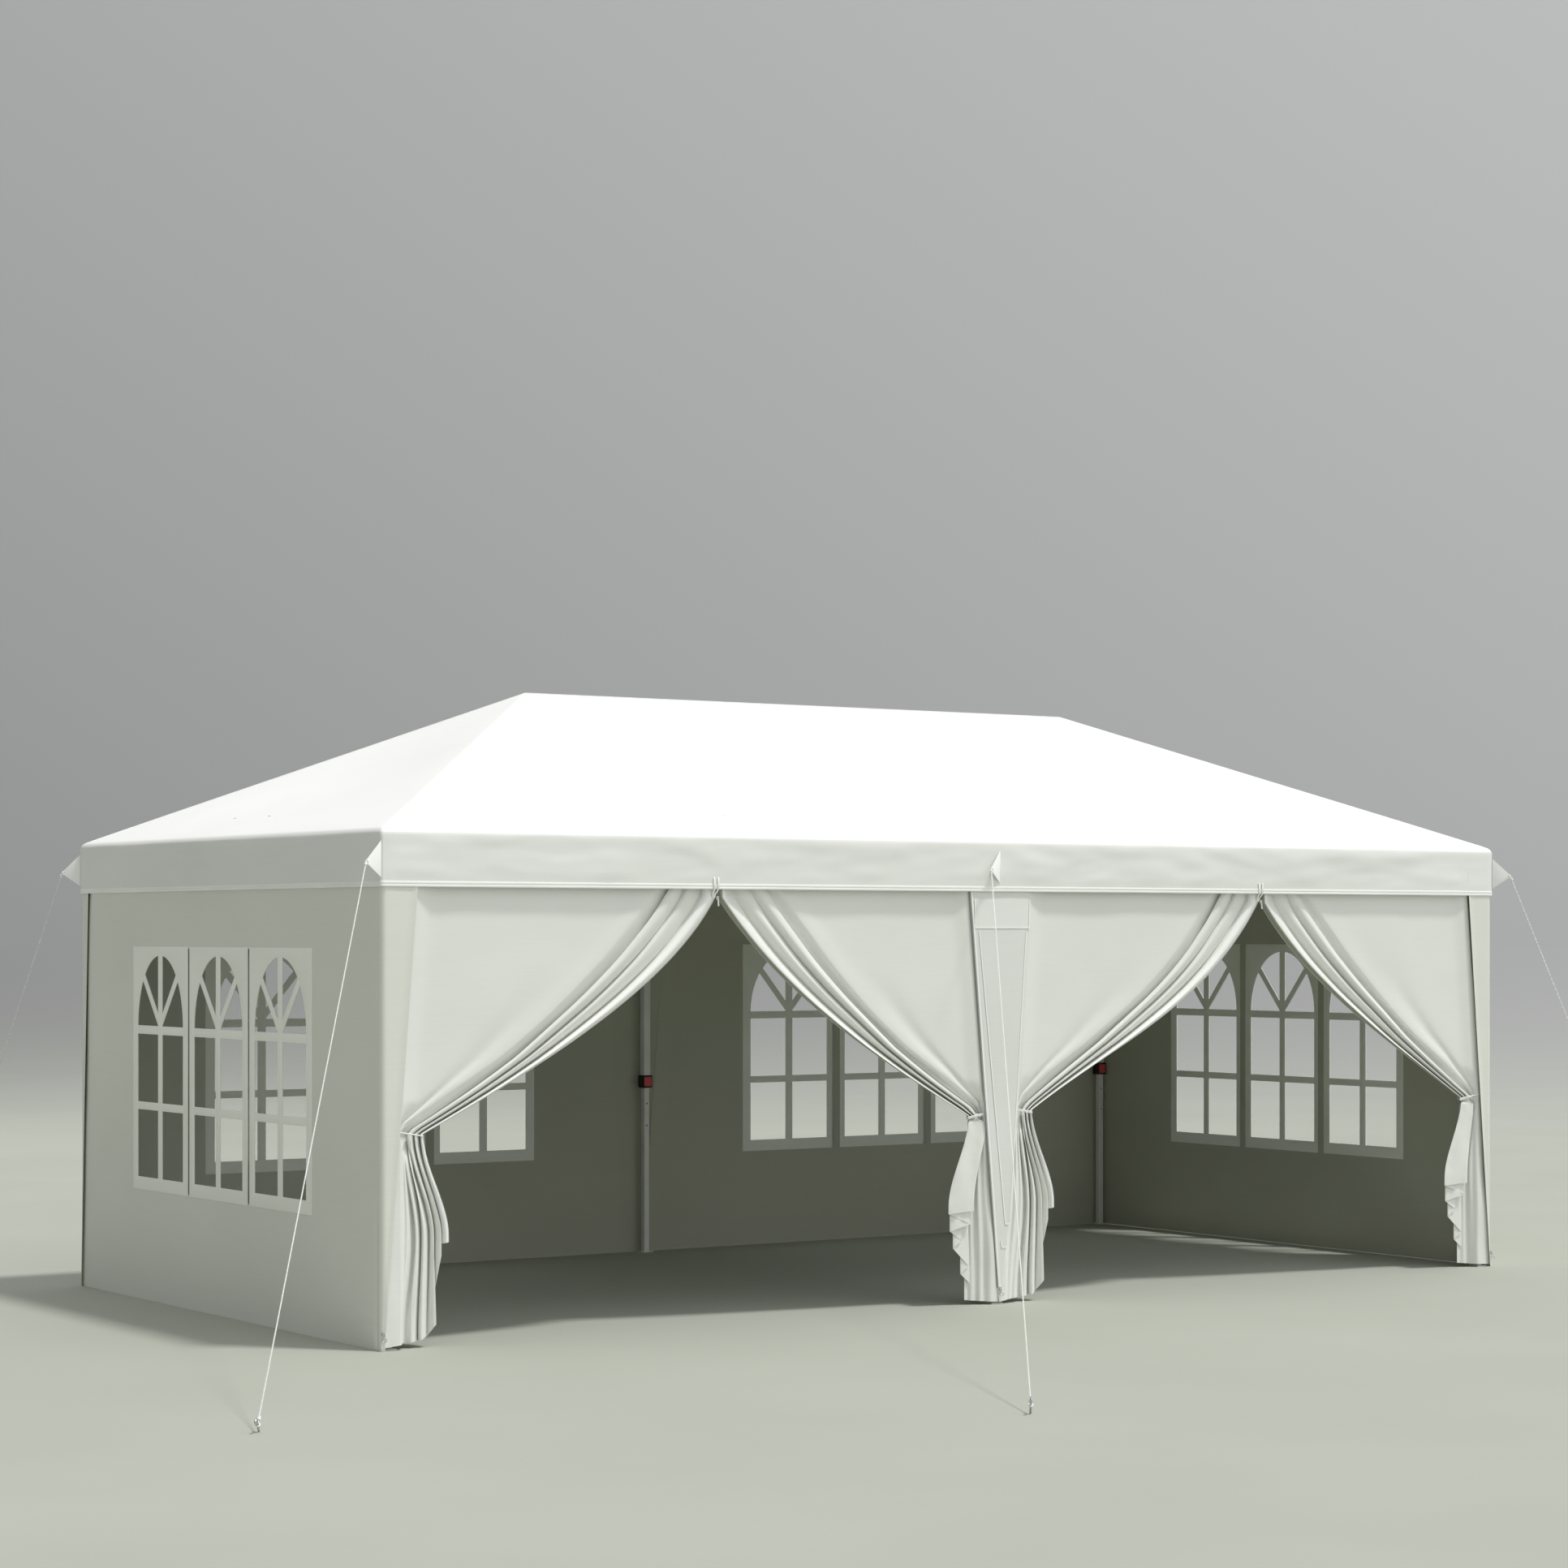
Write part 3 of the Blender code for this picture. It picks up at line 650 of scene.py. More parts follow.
def valance_wave(along, from_corner, height, side_x):
    """How far the valance stands out, in soft waves that end at its hem, eave and corners."""
    above = height - VALANCE_BOTTOM
    share = 0.25 + 0.75 * ease(0.02, 0.07, above)
    share *= 1 - ease(0.17, 0.215, above)
    wave = WAVE_SIZE * (ripple(along * 2.7, above * 9.0, 4.0 + side_x)
                        + 0.6 * ripple(along * 6.5, above * 17.0, 9.0)) + 0.0020
    wave *= share * ease(0.0, 0.12, from_corner)
    return max(wave, -0.0012)


def canopy_point(x, y, inset, height):
    """Adds the soft waves of the valance and the slight sag of each slope."""
    side_x = abs(x / HALF_X) > abs(y / HALF_Y) * 1.0001
    if height < EAVE_HEIGHT - EAVE_RADIUS * 0.2 and inset < 0.01:
        if side_x:
            return x + math.copysign(valance_wave(y, HALF_Y - abs(y), height, 1), x), y, height
        return x, y + math.copysign(valance_wave(x, HALF_X - abs(x), height, 0), y), height
    rise = min(max((inset - 0.01) / (HALF_Y - 0.01), 0.0), 1.0)
    from_hip = abs((HALF_X - abs(x)) - (HALF_Y - abs(y)))
    slack = math.sin(math.pi * rise) ** 2 * (1 - math.exp(-(from_hip / 0.35) ** 2))
    height -= SAG * slack
    height += 0.0022 * ripple(x * 2.3, y * 2.3, 2.0) * slack
    return x, y, height


def make_canopy():
    rows = []
    coordinates = []
    length = 0.0
    before = None
    for inset, height in canopy_profile():
        radius = CORNER_ROUND * (1 - ease(0.0, 0.35, inset)) + 0.0001
        rows.append([canopy_point(x, y, inset, height) for x, y in ring_plan(inset, radius)])
        if before:
            length += math.dist(before, (inset, height))
        before = (inset, height)
        coordinates.append([(across, length) for across in run_along(rows[-1])])
    made = grid("canopy_sheet", rows, uv=coordinates, closed=True)
    tidied(made, 2e-5)
    for face in made.data.polygons:
        above_hem = face.center.z > VALANCE_BOTTOM + HEM_HEIGHT
        face.material_index = above_hem + (face.center.z > EAVE_HEIGHT - EAVE_RADIUS * 0.4)
    # Hem, valance and roof cloth; the roof's is a brighter copy of the same fabric, painted light,
    # and the inner faces get painted shade.
    thickened(made, [HEM_CLOTH, VALANCE_CLOTH, ROOF_LIGHT_CLOTH], SHADED_INNER_CLOTH)
    finished(made, ROOF_LIGHT_CLOTH, stands_for=["canopy"])
    return made


canopy = make_canopy()


# Roof seams and drains, laid on the canopy where a line from above meets it
LONG_SIDE_DRAINS = [(x, y) for y in (-1.26, 1.26) for x in (-1.623, -1.270, 1.328, 1.695)]
END_DRAINS = [(x, y) for x in (-2.744, 2.744) for y in (0.268, -0.066)]
DRAIN_LENGTH = 0.021
SEAM_TAPE = [(-0.007, -0.0014), (0.0, 0.0009), (0.007, -0.0014),
             (0.007, -0.0024), (0.0, -0.0004), (-0.007, -0.0024)]


def on_roof(x, y):
    """The place on the canopy below (x, y), and the way that it faces."""
    _, place, facing, _ = canopy.ray_cast((x, y, RIDGE_HEIGHT + 1.0), (0.0, 0.0, -1.0))
    return place, facing


def make_roof_seams():
    """A stitched tape over the ridge and down each hip."""
    ridge = [on_roof(x, 0.0)[0] for x in spaced(-PEAK_X, (PEAK_X, 40))]
    seams = [swept("canopy_ridge_seam", ridge, SEAM_TAPE)]
    for side_x in (-1, 1):
        for side_y in (-1, 1):
            path = [on_roof(side_x * (HALF_X - inset), side_y * (HALF_Y - inset))[0]
                    for inset in spaced(CORNER_ROUND, (HALF_Y - 0.002, 50))]
            seams.append(swept("canopy_hip_seam", path, SEAM_TAPE))
    finished(joined("canopy_seam_tapes", seams), ROOF_SEAM)


def oval(length, width):
    """A long hole with round ends, as (along, across) points."""
    straight = (length - width) / 2
    turns = (2 * math.pi * (step + 0.5) / 20 for step in range(20))
    return [(math.copysign(straight, math.cos(turn)) + width / 2 * math.cos(turn),
             width / 2 * math.sin(turn)) for turn in turns]


def make_drains():
    """Stitched slits near the eave, which let rain off the roof."""
    for number, (x, y) in enumerate(LONG_SIDE_DRAINS + END_DRAINS):
        place, facing = on_roof(x, y)
        along = ALONG if (x, y) in LONG_SIDE_DRAINS else -FRONT
        matrix = standing(place + facing * 0.0006, along, facing)
        rim = plate("drain", oval(DRAIN_LENGTH + 0.007, 0.009), [oval(DRAIN_LENGTH, 0.0035)],
                    0.0016, 0.0005, matrix)
        # The slit's dark fill paints the shade in the opening.
        slit = plate("drain", oval(DRAIN_LENGTH + 0.001, 0.0045), (), 0.0010, 0.0002, matrix)
        finished(rim, ROOF_SEAM)
        finished(slit, COIL_AND_SLIT_SHADE)
        rim.name = "canopy_drain_rim_" + str(number + 1)
        slit.name = "canopy_drain_slit_" + str(number + 1)


bpy.context.view_layer.update()
make_roof_seams()
make_drains()


# Walls: a sheet that turns the corner as a strip, with one opening behind three framed windows
WINDOW_WIDTH = 0.473
WINDOW_PITCH = 0.584
WINDOW_COUNT = 3
LIGHT_BOTTOM = 0.529
ARCH_TOP = 1.486
ARCH_RISE = 0.304
PANEL_WIDTH = 0.564         # one white window frame
PANEL_BOTTOM = 0.475
PANEL_TOP = 1.522
PANEL_THICKNESS = 0.0045
BAR = 0.040
LEVEL_BARS = [(0.821, 0.853), (1.147, 1.182)]       # their lower and upper edges
V_BAR = 0.030
V_HEAD = (0.186, 1.408)     # where each arm of the V ends: beside the middle, and its height
BAR_LAP = 0.004             # how far a bar's ends lie under the frame
BACKING = 0.040             # cloth behind the gap between two frames, darker as painted shade
SLIT = 0.007                # dark gap beside the last frame
CORNER_GROOVE = 0.039       # from a corner to the crease beside the strip's foot
FRAME_LAP = 0.006           # how far the outer frames overlap the wall's opening
FRAME_DEPTH = WALL_FACE + PANEL_THICKNESS / 2 - 0.0022
VINYL_DEPTH = WALL_FACE + 0.0032
BACKING_DEPTH = WALL_FACE + 0.0088
WINDOWS_HALF = (WINDOW_COUNT - 1) / 2 * WINDOW_PITCH + PANEL_WIDTH / 2

# A wall's quads: rows below, beside and above the windows; columns on the strip, round the
# corner, over the groove, up to the windows, across them and on to the far end
LOW_ROWS, WINDOW_ROWS, HIGH_ROWS = 14, 26, 12
STRIP_STEPS, TURN_STEPS, GROOVE_STEPS = 7, 6, 6
NEAR_STEPS, WINDOW_STEPS, FAR_STEPS = 14, 36, 16
FIRST_COLUMN = STRIP_STEPS + TURN_STEPS + 1 + GROOVE_STEPS + NEAR_STEPS     # at the windows


def strip_width(height, head):
    return STRIP_FOOT + (head - STRIP_FOOT) * height / WALL_TOP


# Each of these turns a spot on one wall into a place. along starts at the front corner, on the
# back walls at the rear corner.
def left_frame(along, depth, height):
    return (-HALF_X + depth, -HALF_Y + along, height)


def right_frame(along, depth, height):
    return (HALF_X - depth, -HALF_Y + along, height)


def back_left_frame(along, depth, height):
    return (-HALF_X + along, HALF_Y - depth, height)


def back_right_frame(along, depth, height):
    return (HALF_X - along, HALF_Y - depth, height)


def wall_columns(height, head, span, far_head):
    """(along, depth, face) of the wall's points at a height. face is 0 on the strip, else 1."""
    width = strip_width(height, head)
    radius = min(CORNER_RADIUS, width * 0.9)
    centre = WALL_FACE + radius
    points = []
    for value in spaced(width, (radius, STRIP_STEPS)):
        lift = 0.004 * ease(0.02, 0.0, width - value)
        points.append((WALL_FACE - lift, WALL_FACE + value, 0))
    for step in range(1, TURN_STEPS):
        angle = math.pi / 2 * step / TURN_STEPS
        points.append((centre - radius * math.cos(angle), centre - radius * math.sin(angle), 0))
    half = WINDOWS_HALF - FRAME_LAP
    far = span - strip_width(height, far_head) + STRIP_LAP
    stops = [(CORNER_GROOVE - 0.006, 1), (CORNER_GROOVE + 0.006, GROOVE_STEPS),
             (span / 2 - half - SLIT, NEAR_STEPS), (span / 2 + half, WINDOW_STEPS),
             (far, FAR_STEPS)]
    return points + [(value, WALL_FACE, 1) for value in spaced(centre, *stops)]


def wall_wave(along, height, span, far, seed):
    """How far in the wall's face lies, apart from its plane."""
    clear = max(abs(along - span / 2) - 0.88, abs(height - 1.0) - 0.53, 0.0)
    wave = 0.006 * ripple(along * 2.6, height * 0.7, seed)
    wave += 0.0025 * ripple(along * 6.5, height * 2.3, seed + 3.0)
    wave *= ease(0.0, 0.18, clear) * ease(WALL_TOP, 1.62, height) * ease(0.0, 0.10, along)
    wave = min(max(wave, -0.003), 0.010)
    wave += 0.010 * ease(far - 0.045, far - 0.008, along)
    crease = math.exp(-((along - CORNER_GROOVE) / 0.0032) ** 2)
    return wave + 0.011 * crease * ease(0.62, 0.45, height)


def wall_row(place, height, span, head, far_head, seed):
    far = span - strip_width(height, far_head)
    row = []
    for along, depth, face in wall_columns(height, head, span, far_head):
        if face:
            depth += wall_wave(along, height, span, far, seed)
        row.append(place(along, depth, height))
    return row


def in_opening(row, column):
    return (LOW_ROWS <= row < LOW_ROWS + WINDOW_ROWS
            and FIRST_COLUMN <= column < FIRST_COLUMN + WINDOW_STEPS)


def make_wall(name, place, span, head, far_head, seed):
    heights = spaced(WALL_FOOT, (PANEL_BOTTOM + FRAME_LAP, LOW_ROWS),
                     (PANEL_TOP - FRAME_LAP, WINDOW_ROWS), (WALL_TOP, HIGH_ROWS))
    rows = [wall_row(place, height, span, head, far_head, seed) for height in heights]
    coordinates = [[(across, height - WALL_FOOT) for across in run_along(row)]
                   for row, height in zip(rows, heights)]
    keep = [[not in_opening(row, column) for column in range(len(rows[0]) - 1)]
            for row in range(len(rows) - 1)]
    made = grid(name + "_sheet", rows, keep=keep, uv=coordinates)
    if place in (left_frame, back_left_frame):
        made.data.flip_normals()
    tidied(made, 1e-6)
    thickened(made, [WALL_SHADE_CLOTH], SHADED_INNER_CLOTH, 0.0012)
    finished(made, WALL_SHADE_CLOTH, stands_for=[name])


def arch(half, spring, rise):
    """Half an oval, from its right foot over the top to its left foot."""
    return [(half * math.cos(math.pi * step / 24), spring + rise * math.sin(math.pi * step / 24))
            for step in range(25)]


def slanted_bar(start, end, width):
    along = Vector((end[0] - start[0], end[1] - start[1])).normalized()
    across = Vector((-along.y, along.x)) * (width / 2)
    return [(start[0] - across.x, start[1] - across.y), (end[0] - across.x, end[1] - across.y),
            (end[0] + across.x, end[1] + across.y), (start[0] + across.x, start[1] + across.y)]


def upright_bar(low, high):
    return [(low[0], low[1]), (high[0], low[1]), (high[0], high[1]), (low[0], high[1])]


def window_bars(spring):
    """The outlines of an upright, two level bars and a V, whose ends lie under the frame."""
    half = WINDOW_WIDTH / 2 + BAR_LAP
    bars = [upright_bar((-BAR / 2, LIGHT_BOTTOM - BAR_LAP), (BAR / 2, ARCH_TOP + BAR_LAP))]
    bars += [upright_bar((-half, low), (half, high)) for low, high in LEVEL_BARS]
    for side in (-1, 1):
        foot = (0.006 * side, spring + 0.010)
        bars.append(slanted_bar(foot, (side * V_HEAD[0], V_HEAD[1]), V_BAR))
    return bars


def make_window_frame(name, matrix):
    """A white frame with an arched light and bars. Each bar is a little thinner than the last."""
    spring = ARCH_TOP - ARCH_RISE
    light = [(-WINDOW_WIDTH / 2, LIGHT_BOTTOM), (WINDOW_WIDTH / 2, LIGHT_BOTTOM)]
    light += arch(WINDOW_WIDTH / 2, spring, ARCH_RISE)
    outline = upright_bar((-PANEL_WIDTH / 2, PANEL_BOTTOM), (PANEL_WIDTH / 2, PANEL_TOP))
    parts = [plate("panel", outline, [light], PANEL_THICKNESS, 0.0008, matrix)]
    for number, bar in enumerate(window_bars(spring)):
        thickness = PANEL_THICKNESS - 0.0004 - 0.0002 * number
        parts.append(plate("bar", bar, (), thickness, 0.0008, matrix))
    finished(joined(name, parts), FRAME_VINYL)


def make_window_frames(name, place, span, outward, along_axis):
    """The three window frames of a wall, and cloth behind the gaps between them, dark as painted
    shade.
    """
    for index in range(WINDOW_COUNT):
        centre = span / 2 + (index - (WINDOW_COUNT - 1) / 2) * WINDOW_PITCH
        matrix = standing(place(centre, FRAME_DEPTH, 0.0), along_axis, outward)
        make_window_frame(name + "_window_frame_" + str(index + 1), matrix)
    strips = []
    for index in range(WINDOW_COUNT - 1):
        centre = span / 2 + (index - (WINDOW_COUNT - 2) / 2) * WINDOW_PITCH
        matrix = standing(place(centre, BACKING_DEPTH, 0.0), along_axis, outward)
        outline = upright_bar((-BACKING / 2, PANEL_BOTTOM), (BACKING / 2, PANEL_TOP))
        strips.append(plate("strip", outline, (), 0.0014, 0.0003, matrix))
    # The backing takes the darker inner cloth: painted shade in the gaps.
    finished(joined(name + "_window_gap_backing", strips), SHADED_INNER_CLOTH)


def make_vinyl(name, place, span):
    """The clear film behind three windows, gently rippled."""
    node = name.replace("wall", "window_vinyl")
    reach = WINDOWS_HALF + 0.004
    rows = []
    for height in spaced(PANEL_BOTTOM, (PANEL_TOP, 40)):
        row = []
        for along in spaced(span / 2 - reach, (span / 2 + reach, 60)):
            near = min(reach - abs(along - span / 2), height - PANEL_BOTTOM, PANEL_TOP - height)
            wave = 0.0025 * (0.5 + ripple(along * 4.0, height * 3.0, 20.0)) * ease(0.0, 0.1, near)
            row.append(place(along, VINYL_DEPTH + max(wave, 0.0), height))
        rows.append(row)
    made = grid(node + "_film", rows)
    finished(made, VINYL, stands_for=[node])


# Each wall: its name, its places, its length, how wide the strips at its two ends are at the
# head, the way that it faces, and the way that its windows' X runs
WALLS = [
    ("left_end_wall", left_frame, WIDTH, FRONT_STRIP_HEAD, BACK_STRIP_HEAD, -ALONG, FRONT),
    ("right_end_wall", right_frame, WIDTH, FRONT_STRIP_HEAD, BACK_STRIP_HEAD, ALONG, -FRONT),
    ("back_left_wall", back_left_frame, HALF_X, BACK_STRIP_HEAD, MIDDLE_STRIP_HEAD,
     -FRONT, -ALONG),
    ("back_right_wall", back_right_frame, HALF_X, BACK_STRIP_HEAD, MIDDLE_STRIP_HEAD,
     -FRONT, -ALONG),
]
for number, (name, place, span, head, far_head, outward, along_axis) in enumerate(WALLS):
    make_wall(name, place, span, head, far_head, 10.0 * number)
    make_window_frames(name, place, span, outward, along_axis)
    make_vinyl(name, place, span)


# Front and back middle strips, which cover the middle legs and carry the curtains' zips
MIDDLE_DEPTH = 0.0085
BAND_FOOT = 0.069           # height where the front strip's sides come closest
SEAM = 0.006

# Patches sewn on the front strip: (name, heights, sides at the foot, sides at the head, cloth)
STRIP_PATCHES = [
    # The head patch takes the brighter valance cloth: painted sunlight on it.
    ("head_patch", (1.604, 1.725), (-0.130, 0.165), (-0.133, 0.168), VALANCE_CLOTH),
    ("long_patch", (0.340, 1.590), (0.030, 0.060), (-0.110, 0.150), STRIP_CLOTH),
    ("foot_patch", (0.241, 0.268), (0.010, 0.042), (0.008, 0.046), STRIP_CLOTH),
]


def front_reach(height, side):
    """How far the front middle strip reaches from the middle, to its left (-1) or right (1)."""
    share = (height - BAND_FOOT) / (VALANCE_BOTTOM - BAND_FOOT)
    if side < 0:
        return 0.005 + 0.150 * share
    return 0.020 + 0.153 * share + 0.016 * math.sin(math.pi * min(max(share, 0.0), 1.0))


def flat_band(name, heights, edges, depth, thickness, finish, lift=0.003):
    """A strip of cloth on the front plane between two edges, with its sides turned in a little."""
    rows = []
    coordinates = []
    for height in heights:
        left, right = edges(height)
        row = []
        for share in spaced(0.0, (0.06, 3), (0.94, 12), (1.0, 3)):
            x = left + (right - left) * share
            turn = ease(0.06, 0.0, share) + ease(0.94, 1.0, share)
            wave = 0.0012 * ripple(x * 9.0, height * 2.5, 31.0)
            row.append((x, -HALF_Y + depth + lift * turn + wave, height))
        rows.append(row)
        coordinates.append([(height, point[0]) for point in row])
    made = grid(name, rows, uv=coordinates)
    thickened(made, [finish], SHADED_INNER_CLOTH if finish is STRIP_CLOTH else None, thickness)
    return finished(made, finish)


def front_edges(height):
    return -front_reach(height, -1), front_reach(height, 1)


def make_front_zip():
    """The open zip down the front middle strip's left side: its tape and its coil, whose dark grey
    also paints the shadow along the strip's edge.
    """
    heights = spaced(0.07, (WALL_TOP, 60))

    def tape_edges(height):
        return front_edges(height)[0] + 0.004, front_edges(height)[0] + 0.013

    flat_band("front_strip_zip_tape", heights, tape_edges, MIDDLE_DEPTH - 0.0010, 0.0006, ZIP_TAPE,
              lift=0.0004)
    path = [(front_edges(height)[0] - 0.0016, -HALF_Y + MIDDLE_DEPTH + 0.0016, height)
            for height in heights]
    finished(swept("front_strip_zip_coil", path, circle(0.0021), up=FRONT), COIL_AND_SLIT_SHADE)


def make_patch(name, heights, foot, head, finish):
    """A patch that narrows towards its foot, with a bright seam down each side and below."""
    low, high = heights
    rows = spaced(low, (high, 30))

    def edges(height):
        share = (height - low) / (high - low)
        return foot[0] + (head[0] - foot[0]) * share, foot[1] + (head[1] - foot[1]) * share

    def seam(part, rows, sides):
        flat_band(name + part, rows, sides, MIDDLE_DEPTH - 0.0024, 0.0006, HEM_CLOTH, lift=0.0003)

    patch = flat_band(name, rows, edges, MIDDLE_DEPTH - 0.0012, 0.0008, finish, lift=0.0008)
    seam("_left_seam", rows, lambda z: (edges(z)[0], edges(z)[0] + SEAM))
    seam("_right_seam", rows, lambda z: (edges(z)[1] - SEAM, edges(z)[1]))
    seam("_foot_seam", spaced(low - SEAM / 2, (low + SEAM / 2, 2)), edges)


def make_front_strip():
    band = flat_band("front_middle_strip_sheet", spaced(WALL_BOTTOM, (WALL_TOP, 60)), front_edges,
                     MIDDLE_DEPTH, CLOTH_THICKNESS, STRIP_CLOTH)
    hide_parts("front_middle_strip")
    for name, heights, foot, head, finish in STRIP_PATCHES:
        make_patch("front_strip_" + name, heights, foot, head, finish)
    make_front_zip()


def make_back_strip():
    rows = []
    for height in spaced(WALL_BOTTOM, (WALL_TOP, 40)):
        reach = strip_width(height, MIDDLE_STRIP_HEAD)
        rows.append([(-reach + 2 * reach * step / 12,
                      HALF_Y - WALL_FACE - 0.003 + 0.003 * abs(step / 6 - 1) ** 3, height)
                     for step in range(13)])
    made = grid("back_middle_strip_sheet", rows, uv=[[(p[0], p[2]) for p in row] for row in rows])
    made.data.flip_normals()
    thickened(made, [STRIP_CLOTH], SHADED_INNER_CLOTH)
    finished(made, STRIP_CLOTH, stands_for=["back_middle_strip"])


make_front_strip()
make_back_strip()


# Curtains: each hangs from the valance, is gathered along its free edge and tied back
CURTAIN_DEPTH = 0.030       # from the valance's face to a curtain that hangs flat
FOOT_KNEE = 0.035           # from a leg's centre to where a curtain may stand deep
TAIL_WIDEST = 0.42          # height where a tail is widest
TAIL_NARROWS = 0.05         # height from which it has its width at the foot
TAIL_DEPTH = 0.024          # from the valance's face to a tail's flat cloth
FLAT_EDGE = 0.125           # from the leg's line to that cloth's edge, just under the cord
HEAD_ROWS = (WALL_TOP, 1.86, 1.82, 1.79, 1.765, 1.745)     # heights behind the valance
EDGE_STEPS = 60
FLAT_COLUMNS = 34
BROAD_ZONES = 2             # zones between fold lines that have more columns than the others
BROAD_STEPS = 14
PLEAT_STEPS = 8
TAIL_STEPS = 44
PLEAT_DEPTH = {"left": 1.36, "right": 1.46}
EDGE_TURN = {"left": 0.006, "right": 0.026}     # how far the free edge is turned under
SHADED_EDGE = 16            # columns of quads at a right curtain's edge with painted shade where it turns under
FOLD_LEAN = 0.67            # how far a fold leans to +X as it goes deeper

# Fold lines from the flat cloth to the free edge: (place across the gathers, 0 at the free
# edge, and swing, 1 a crest and -1 a valley, high up; then the same at the cord). The flat
# cloth runs under the first fold at line 1 and comes back at line 3. The last two lines are
# the edge, turned under.
FOLDS = [
    (1.42, 0.30, 1.60, -0.12), (1.10, -0.50, 1.06, -0.50), (0.46, -1.05, 0.70, -0.90),
    (1.07, -0.38, 0.88, -0.30), (1.08, 0.35, 0.86, 0.60), (0.95, 1.15, 0.70, 0.80),
    (0.74, -0.40, 0.52, -0.50), (0.62, 0.55, 0.40, 0.60), (0.34, -0.50, 0.20, -0.80),
    (0.12, 1.20, 0.00, 0.90), (0.00, 0.10, -0.03, -0.30), (0.06, -0.10, 0.03, -0.80),
]
EDGE_LINE = 10
HIGH_SHAPES = ("soft", "line", "line", "line")      # from one line to the next, high up

# The same lines in a tail: (distance from the leg's line where the tail is widest, and at its
# foot; height of the hem; depth)
TAILS = {
    "left": [
        (0.156, 0.125, 0.022, 0.052), (0.168, 0.150, 0.024, 0.026), (0.182, 0.168, 0.026, 0.060),
        (0.200, 0.190, 0.030, 0.024), (0.216, 0.208, 0.040, 0.062), (0.243, 0.253, 0.085, 0.026),
        (0.239, 0.236, 0.200, 0.066), (0.275, 0.277, 0.346, 0.028), (0.268, 0.268, 0.390, 0.060),
        (0.301, 0.301, 0.396, 0.024), (0.303, 0.303, 0.396, 0.032), (0.294, 0.294, 0.393, 0.038)],
    "right": [
        (0.167, 0.167, 0.020, 0.066), (0.107, 0.107, 0.062, 0.061), (0.188, 0.188, 0.134, 0.056),
        (0.145, 0.145, 0.166, 0.051), (0.228, 0.228, 0.245, 0.046), (0.184, 0.184, 0.277, 0.041),
        (0.245, 0.245, 0.319, 0.036), (0.136, 0.136, 0.345, 0.031), (0.252, 0.252, 0.393, 0.026),
        (0.122, 0.122, 0.401, 0.020), (0.120, 0.120, 0.401, 0.024), (0.130, 0.130, 0.400, 0.028)],
}
NECK = {0.0: (0.145, 0.058), LEG_INSET: (0.180, 0.106)}    # turns just under the cord, by leg
NECK_DROP = 0.035
CORNER_SHIFT = 0.012        # how much further out a right tail hangs at a corner leg

# Each curtain: leg is the place of its leg's line, way the direction from it into the doorway,
# offset the distance from the line to the leg. Its free edge is a curve from head to tie, each
# (distance from the line, height), with a slope in degrees and a handle at both ends.
CURTAINS = {
    "left_door_left_curtain": dict(
        leg=-HALF_X, way=1, offset=LEG_INSET, kind="left", stretch=1.0,
        head=(1.520, 1.725), tie=(0.191, 0.815), angles=(58.5, 26.1), handles=(0.467, 0.468)),
    "left_door_right_curtain": dict(
        leg=0.0, way=-1, offset=0.0, kind="right", stretch=1.0,
        head=(1.415, 1.724), tie=(0.149, 0.807), angles=(52.4, 28.8), handles=(0.535, 0.512)),
    "right_door_left_curtain": dict(
        leg=0.0, way=1, offset=0.0, kind="left", stretch=1.03,
        head=(1.491, 1.724), tie=(0.191, 0.821), angles=(57.0, 31.1), handles=(0.574, 0.534)),
    "right_door_right_curtain": dict(
        leg=HALF_X, way=-1, offset=LEG_INSET, kind="right", stretch=1.1,
        head=(1.444, 1.718), tie=(0.188, 0.807), angles=(53.4, 32.1), handles=(0.496, 0.466)),
}


def edge_stations(spec):
    """(distance from the leg's line, height, slope) down the free edge as far as the cord."""
    head, tie = Vector(spec["head"]), Vector(spec["tie"])
    upper, lower = (math.radians(angle) for angle in spec["angles"])
    one = head - Vector((math.cos(upper), math.sin(upper))) * spec["handles"][0]
    two = tie + Vector((math.cos(lower), math.sin(lower))) * spec["handles"][1]
    stations = [(head.x, height, upper) for height in HEAD_ROWS]
    for step in range(EDGE_STEPS + 1):
        t = step / EDGE_STEPS
        point = (head * (1 - t) ** 3 + one * 3 * t * (1 - t) ** 2 + two * 3 * t * t * (1 - t)
                 + tie * t ** 3)
        way = (one - head) * (1 - t) ** 2 + (two - one) * 2 * t * (1 - t) + (tie - two) * t * t
        stations.append((point.x, point.y, math.atan2(-way.y, -way.x)))
    return stations


def leg_side(spec, height):
    """Distance from the leg's line to the curtain's edge behind the strip."""
    if spec["offset"]:
        return WALL_FACE + strip_width(height, FRONT_STRIP_HEAD) - STRIP_LAP
    return max(front_reach(height, spec["way"]), 0.014) - STRIP_LAP


def gather_width(height):
    return float(np.interp(height, (0.80, 0.85, 0.95, 1.10, 1.40, 1.57, 1.725, 1.757, 1.90),
                           (0.044, 0.044, 0.055, 0.074, 0.137, 0.170, 0.190, 0.172, 0.110)))


def valley_depth(height):
    return float(np.interp(height, (0.82, 0.95, 1.20, 1.45, 1.72, 1.80, 1.90),
                           (0.042, 0.046, 0.044, 0.038, 0.022, 0.012, 0.008)))


def crest_height(height):
    return float(np.interp(height, (0.85, 0.95, 1.40, 1.72), (0.006, 0.012, 0.015, 0.009)))


def near_cord(height):
    """0 high up, where few broad folds show, and 1 at the cord, where many narrow ones do."""
    return ease(1.25, 0.86, height)


